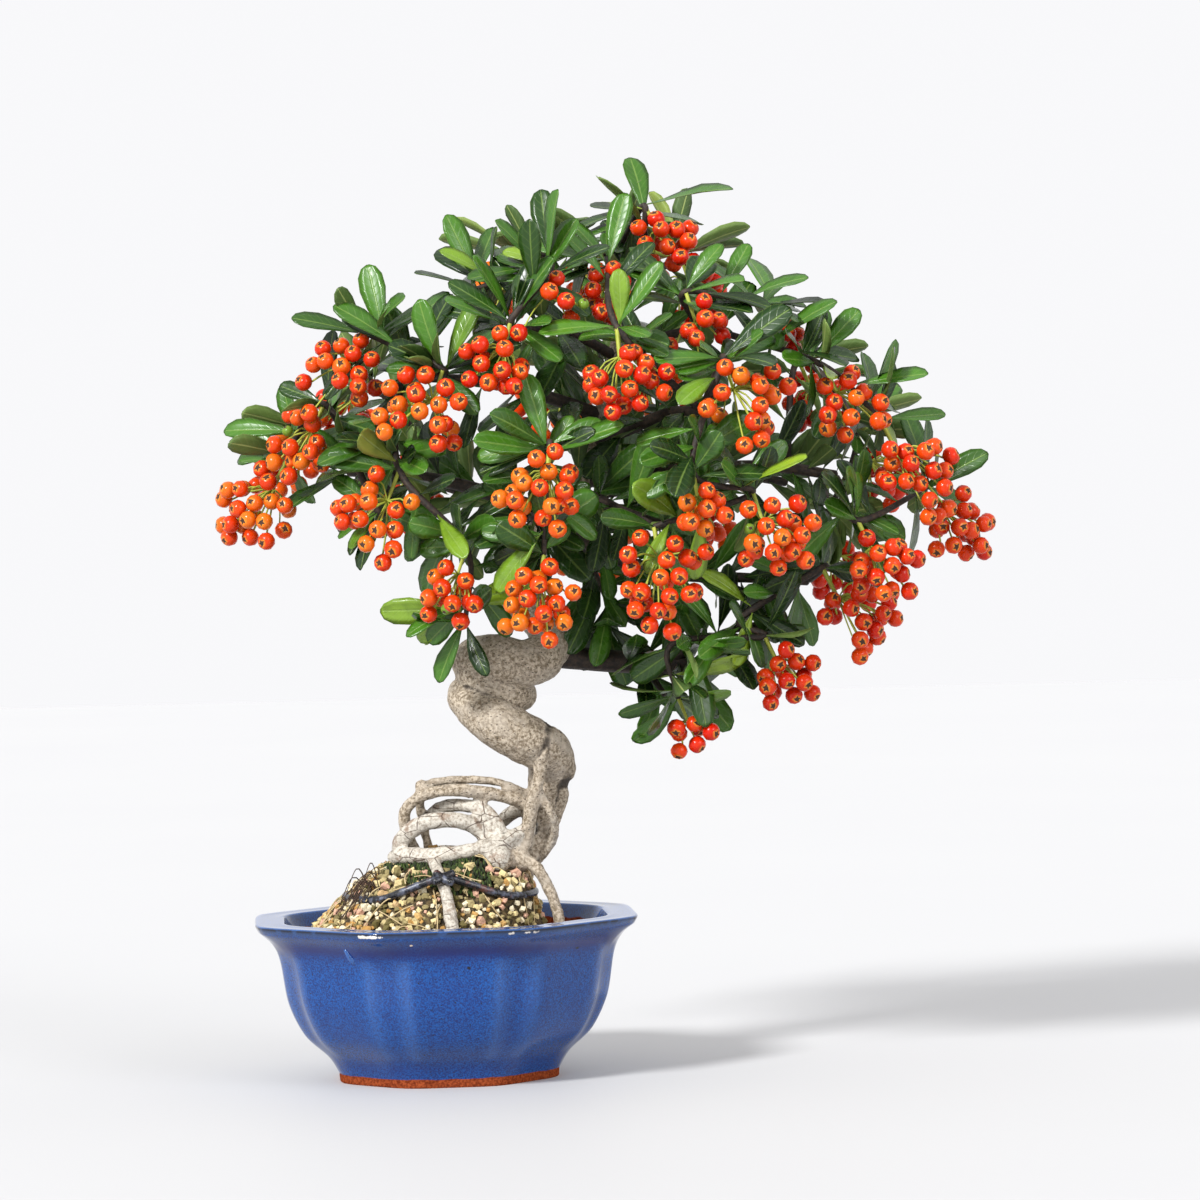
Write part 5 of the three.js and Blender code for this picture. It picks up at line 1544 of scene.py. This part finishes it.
def leaves_along(stops, draw, apart, each, lengths, light):
    """Leaves by the golden angle along a limb from its fourth point on, clear of all berries."""
    found, gone, turn = [], 0.0, draw() * 360
    line = limb_path(stops, 3)[3:]
    for before, after in zip(line, line[1:]):
        gone += math.dist(before[:3], after[:3])
        if gone < apart:
            continue
        gone = 0.0
        stem_way = unit(after[:3] - before[:3])
        for _ in range(each):
            turn += GOLDEN_ANGLE
            along = around(stem_way, between([40, 80], draw()), turn)
            length = between(lengths, draw())
            leaf = {"root": after[:3] + along * after[3] * 0.6, "along": along,
                    "upper": square_to(along, light + UP * 0.6), "length": length,
                    "width": length * between([0.28, 0.34], draw()), "arch": between([0.05, 0.2], draw())}
            near = taken[np.linalg.norm(taken - leaf["root"], axis=1) < length + 8]
            if not len(near) or (off_blade(near, blade(leaf)) > BERRY + 0.3).all():
                found.append(leaf)
    return found


def stem_of(stops):
    """A bare stem in bark."""
    stem = tubes("stem", [blunt(limb_path(stops, 2))], 1)
    dress(stem, twig_bark)
    return stem


print("one leaf bent, mm:", np.round(np.ptp(bent(ROSETTES[0]["leaves"][0], draws(1)), axis=0), 1))

# %% Leafy twigs
TWIG_LEAF_GAP = 8
leaf_count = 0
for name, stops in TWIG_STOPS.items():
    draw = draws(2000 + leaf_count)
    own = [rosette for rosette in ROSETTES if rosette["twig"] == name]
    leaves = [{**leaf, "light": facing(rosette)} for rosette in own for leaf in rosette["leaves"]]
    leaves += leaves_along(stops, draw, TWIG_LEAF_GAP, 2, LEAF_LENGTH, facing(own[0]))
    blades = repeat("blades", leaf_master, [bent(leaf, draw) for leaf in leaves], [draw() for _ in leaves])
    dress(blades, leaf_upper, leaf_under)
    twig = merge([blades, stem_of(stops)], "leafy_twig_" + name)
    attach(twig, "root")
    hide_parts("leaves_" + name)
    leaf_count += len(leaves)
print("leafy twigs:", len(TWIG_STOPS), " leaves:", leaf_count, " faces of the last:", faces_of(twig))

# %% [markdown]
# ## Berries
# A ripe berry is a slightly flattened ball, 7 to 7.5 mm wide, from orange to deep red, with a satin gloss and
# fine pale dots. At its far end sits the dark five-pointed star of the dried flower. The star is modelled in
# the ball's last ring of faces: every second corner is pulled in, and the pole is sunk.

# %% Berry finishes
berry_skin, tree, shader = new_finish("satin skin of a ripe berry")
here = add(tree, "TexCoord")
tone, halo = [add(tree, "Attribute", attribute_name=name) for name in ("tone", "halo")]
blush = add(tree, "TexNoise", here, per_mm(5), 2)
dots = add(tree, "TexVoronoi", here, per_mm(0.9))
red = lay(tree, "#d6490a", ("#b41202", tone, 0.0, 1.0), ("#c32e07", blush, 0.4, 0.75, 0, 0.5),
          ("#ec8a3a", dots, 0.22, 0.08, 0, 0.2))
# The least ripe are orange. Round the star the skin is drier and golden, and a tone above one marks the few
# berries that stayed green.
ripe = lay(tree, add(tree, "Mix", add(tree, "MapRange", tone, 0.1, 0.38), "#cb6210", red),
           ("#d08428", halo, 0.25, 1.0, 0, 0.8), ("#66842a", tone, 1.3, 1.6))
set_inputs(shader, {
    "Base Color": ripe, "Roughness": add(tree, "MapRange", blush, 0.3, 0.7, 0.18, 0.28),
    "IOR": 1.45, "Specular IOR Level": 0.3, "Subsurface Weight": 0.08,
    "Subsurface Radius": (0.002, 0.0008, 0.0004), "Subsurface Scale": 1.0,
})
# The dried flower is dark and dull, and the stalks are a fresh yellow-green.
star_finish = mottled("dried flower end of a berry", 0.8, "#1a0f0a", "#4d2c1a", 0.85)
stalk_finish = mottled("green berry stalk", 5, "#7c8c28", "#b3b646", 0.6)
print("nodes of the berry skin:", len(tree.nodes))

# %% One berry
SEGMENTS, RINGS = 10, 7
# Degrees from the star to each ring of corners, and height of the two poles.
RING_ANGLES, STAR_HEIGHT, ROOT_HEIGHT = [29, 43, 66, 93, 120, 150], 0.8, -0.96
# Every second corner of the first ring comes in by this, between the star's points.
STAR_PULL = 0.5
deselect_all()
bpy.ops.mesh.primitive_uv_sphere_add(segments=SEGMENTS, ring_count=RINGS, radius=1)
berry_master = bpy.context.object
while berry_master.data.uv_layers:
    berry_master.data.uv_layers.remove(berry_master.data.uv_layers[0])
for face in berry_master.data.polygons:
    face.material_index = 1 if face.center.z > 0.92 else 0
for vertex in berry_master.data.vertices:
    place = vertex.co
    if abs(place.z) > 0.999:
        place.z = STAR_HEIGHT if place.z > 0 else ROOT_HEIGHT
        continue
    ring = round(math.degrees(math.acos(place.z)) / (180 / RINGS)) - 1
    turn, slant = math.atan2(place.y, place.x), math.radians(RING_ANGLES[ring])
    reach = math.sin(slant) * (STAR_PULL if ring == 0 and round(turn / (math.tau / SEGMENTS)) % 2 else 1.0)
    vertex.co = (reach * math.cos(turn), reach * math.sin(turn), math.cos(slant))
halo = [1.0 if vertex.co.z > 0.78 else 0.0 for vertex in berry_master.data.vertices]
write_down(berry_master, "halo", halo)
berry_shape = numbers(berry_master.data.vertices, "co", 3) * [1.01, 1.01, 0.94]
print("faces of a berry:", faces_of(berry_master), " of its star:",
      sum(face.material_index for face in berry_master.data.polygons))

# %% Bunches
def frame_round(way, turn):
    """Three directions at right angles as rows, the last along the way."""
    side = around(way, 90, turn)
    return np.array([side, np.cross(way, side), way])


def berry_at(place, way, out, size, draw):
    leaning = unit(way * 0.55 + out * 0.8 + (np.array([draw(), draw(), draw()]) - 0.5) * 0.8)
    return berry_shape * BERRY * size @ frame_round(leaning, draw() * 360) + place


def stalks_of(rosette):
    """The bunch's stalk and a little stalk to each berry."""
    start = rosette["hub"] + rosette["axis"] * 0.5
    heart = rosette["bunch"] - rosette["axis"] * rosette["radius"] * 0.55
    paths = [limb_path([[*start, 1.0], [*((start + heart) / 2), 0.9], [*heart, 0.8]], 3)]
    for place, way in rosette["berries"]:
        middle = heart + (place - heart) * 0.5 + rosette["axis"] * -1.2
        paths.append(limb_path([[*heart, 0.42], [*middle, 0.38], [*(place - way * BERRY * 0.7), 0.4]], 4))
    return paths


GREEN_SHARE, GREEN_SIZE, GREEN_TONE = 0.012, 0.62, 2.0
RIPE_SIZE, TONE_SPREAD = [0.92, 1.02], 0.55
berry_count, bunch_count = 0, 0
for name in TWIGS:
    own = [rosette for rosette in ROSETTES if rosette["twig"] == name]
    for i, rosette in enumerate(own):
        if not rosette["berries"]:
            continue
        draw = draws(3000 + bunch_count)
        bunch_tone = draw()
        out = facing(rosette)
        green = [draw() < GREEN_SHARE for _ in rosette["berries"]]
        shapes = [berry_at(place, way, out, GREEN_SIZE if unripe else between(RIPE_SIZE, draw()), draw)
                  for (place, way), unripe in zip(rosette["berries"], green)]
        tones = [GREEN_TONE if unripe else min(1.0, TONE_SPREAD * bunch_tone + TONE_SPREAD * draw())
                 for unripe in green]
        balls = repeat("balls", berry_master, shapes, tones)
        stems = tubes("stems", stalks_of(rosette), 0)
        dress(balls, berry_skin, star_finish)
        dress(stems, stalk_finish)
        bunch = merge([balls, stems], f"bunch_{name}_{i + 1}")
        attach(bunch, "root")
        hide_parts(f"berries_{name}_{i + 1}")
        berry_count += len(shapes)
        bunch_count += 1
bpy.data.objects.remove(berry_master)
print("bunches:", bunch_count, " berries:", berry_count)

# %% [markdown]
# ## Leaves inside the crown
# Short shoots along the branches carry leaves that fill the dark inside of the crown. They are placed by the
# same golden angle along every branch, and kept clear of all berries.

# %% Inner shoots
INNER_LEAF_GAP, INNER_LENGTH, INNER_TONE = 6, [22, 34], 0.7
# One more twig hangs down behind the front bunches, over the sawn branch.
HANGING = [[58, 2, 214, 1.6], [63, 7, 200, 1.3], [68, 9, 187, 1.1], [67, 7, 179, 0.9]]
bearing = {name: stops for name, stops in BRANCHES.items() if not name.startswith("sawn")}
# The leader is bare below the crown, and so is the thick sawn branch near the trunk.
bearing.update(leader=LEADER[3:], sawn=BRANCHES["sawn"][1:], sawn_shoot=BRANCHES["sawn_shoot"],
               sawn_twig=BRANCHES["sawn_twig"], hanging=HANGING)
inner = []
for seed, (name, stops) in enumerate(bearing.items()):
    middle = np.array(stops[len(stops) // 2][:3])
    light = unit(unit(middle - CROWN_MIDDLE) + [0, nearer_face(middle[1]), 0])
    each = 5 if name == "hanging" else 2
    inner += leaves_along(stops, draws(5000 + seed), INNER_LEAF_GAP, each, INNER_LENGTH, light)
draw = draws(6000)
shapes = [bent(leaf, draw) for leaf in inner]
inner_leaves = repeat("inner_leaves", leaf_master, shapes, [draw() * INNER_TONE for _ in inner])
bpy.data.objects.remove(leaf_master)
dress(inner_leaves, leaf_upper, leaf_under)
inner_leaves = merge([inner_leaves, stem_of(HANGING)], "inner_leaves")
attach(inner_leaves, "root")
print("inner leaves:", len(inner), " faces:", faces_of(inner_leaves))

# %% [markdown]
# ## Floor, light and camera
# The tree stands on a plain pale floor in a studio: a soft key light from the left front, a weaker and softer
# one from the right, and a bright, even room all round. The camera looks level from just under two metres
# away with a long lens, and its small shift sets the tree in the frame.

# %% Floor and room
deselect_all()
bpy.ops.mesh.primitive_plane_add(size=8)
floor_piece = bpy.context.object
floor_piece.name = "studio_floor"
dress(floor_piece, mottled("pale studio floor", 400, "#bbbbbc", "#bebebe", 0.6))
floor_piece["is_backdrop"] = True

room = bpy.data.worlds.new("studio room")
bpy.context.scene.world = room
room.use_nodes = True
set_inputs(room.node_tree.nodes["Background"], {"Color": "#fdfdff", "Strength": 0.96})
# Plain colour management keeps the berries as red and the room as white as they are.
bpy.context.scene.view_settings.view_transform = "Standard"


def sun(name, bearing, height, strength, softness):
    """A soft light at a bearing and height in degrees. Bearing 0 is the tree's front and 90 its right."""
    deselect_all()
    bpy.ops.object.light_add(type="SUN", rotation=(math.radians(90 - height), 0, math.radians(bearing)))
    light = bpy.context.object
    light.name = name
    light.data.energy = strength
    light.data.angle = math.radians(softness)


sun("key light", -38, 34, 4.4, 12)
sun("fill light", 45, 22, 1.2, 30)

# %% Camera
# In pixels of the square frame: its side, the lens, the middle of the pot's foot and the height of the eye.
FRAME, LENS_PIXELS, FOOT_PIXEL, LEVEL_PIXEL = 1200, 4800, (449, 1075), 516
# In metres: the distance from the pot, and how far right of the pot and above the floor the camera stands.
DISTANCE, AIM = 1.92, (0.0604, 0.2236)
ROLL, SENSOR = math.radians(1.4), 36
half = FRAME / 2
off_x, off_y = half - FOOT_PIXEL[0], LEVEL_PIXEL - FOOT_PIXEL[1]
centre_x = FOOT_PIXEL[0] + off_x * math.cos(ROLL) + off_y * math.sin(ROLL)
centre_y = FOOT_PIXEL[1] - off_x * math.sin(ROLL) + off_y * math.cos(ROLL)
deselect_all()
bpy.ops.object.camera_add()
camera = bpy.context.object
camera.data.sensor_width = SENSOR
camera.data.lens = SENSOR * LENS_PIXELS / FRAME
camera.data.shift_x = (half - centre_x) / FRAME
camera.data.shift_y = (centre_y - half) / FRAME
camera.matrix_world = (Matrix.Translation((POT_MIDDLE[0] + AIM[0], POT_MIDDLE[1] - DISTANCE, AIM[1]))
                       @ Matrix.Rotation(math.pi / 2, 4, "X") @ Matrix.Rotation(-ROLL, 4, "Z"))
bpy.context.scene.camera = camera
print("lens, mm:", camera.data.lens, " shift:", round(camera.data.shift_x, 4), round(camera.data.shift_y, 4))

# %% [markdown]
# ## Size and finish
# The dressed tree has to stay as big as its solid model, so both boxes are printed.

# %% Sizes
visual_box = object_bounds()
boxes = {"cad": [list(corner) for corner in CAD_BOX], "visual": [list(corner) for corner in visual_box]}
for name, (low, high) in boxes.items():
    print(name, "mm:", [round(value * 1000, 1) for value in low], [round(value * 1000, 1) for value in high])
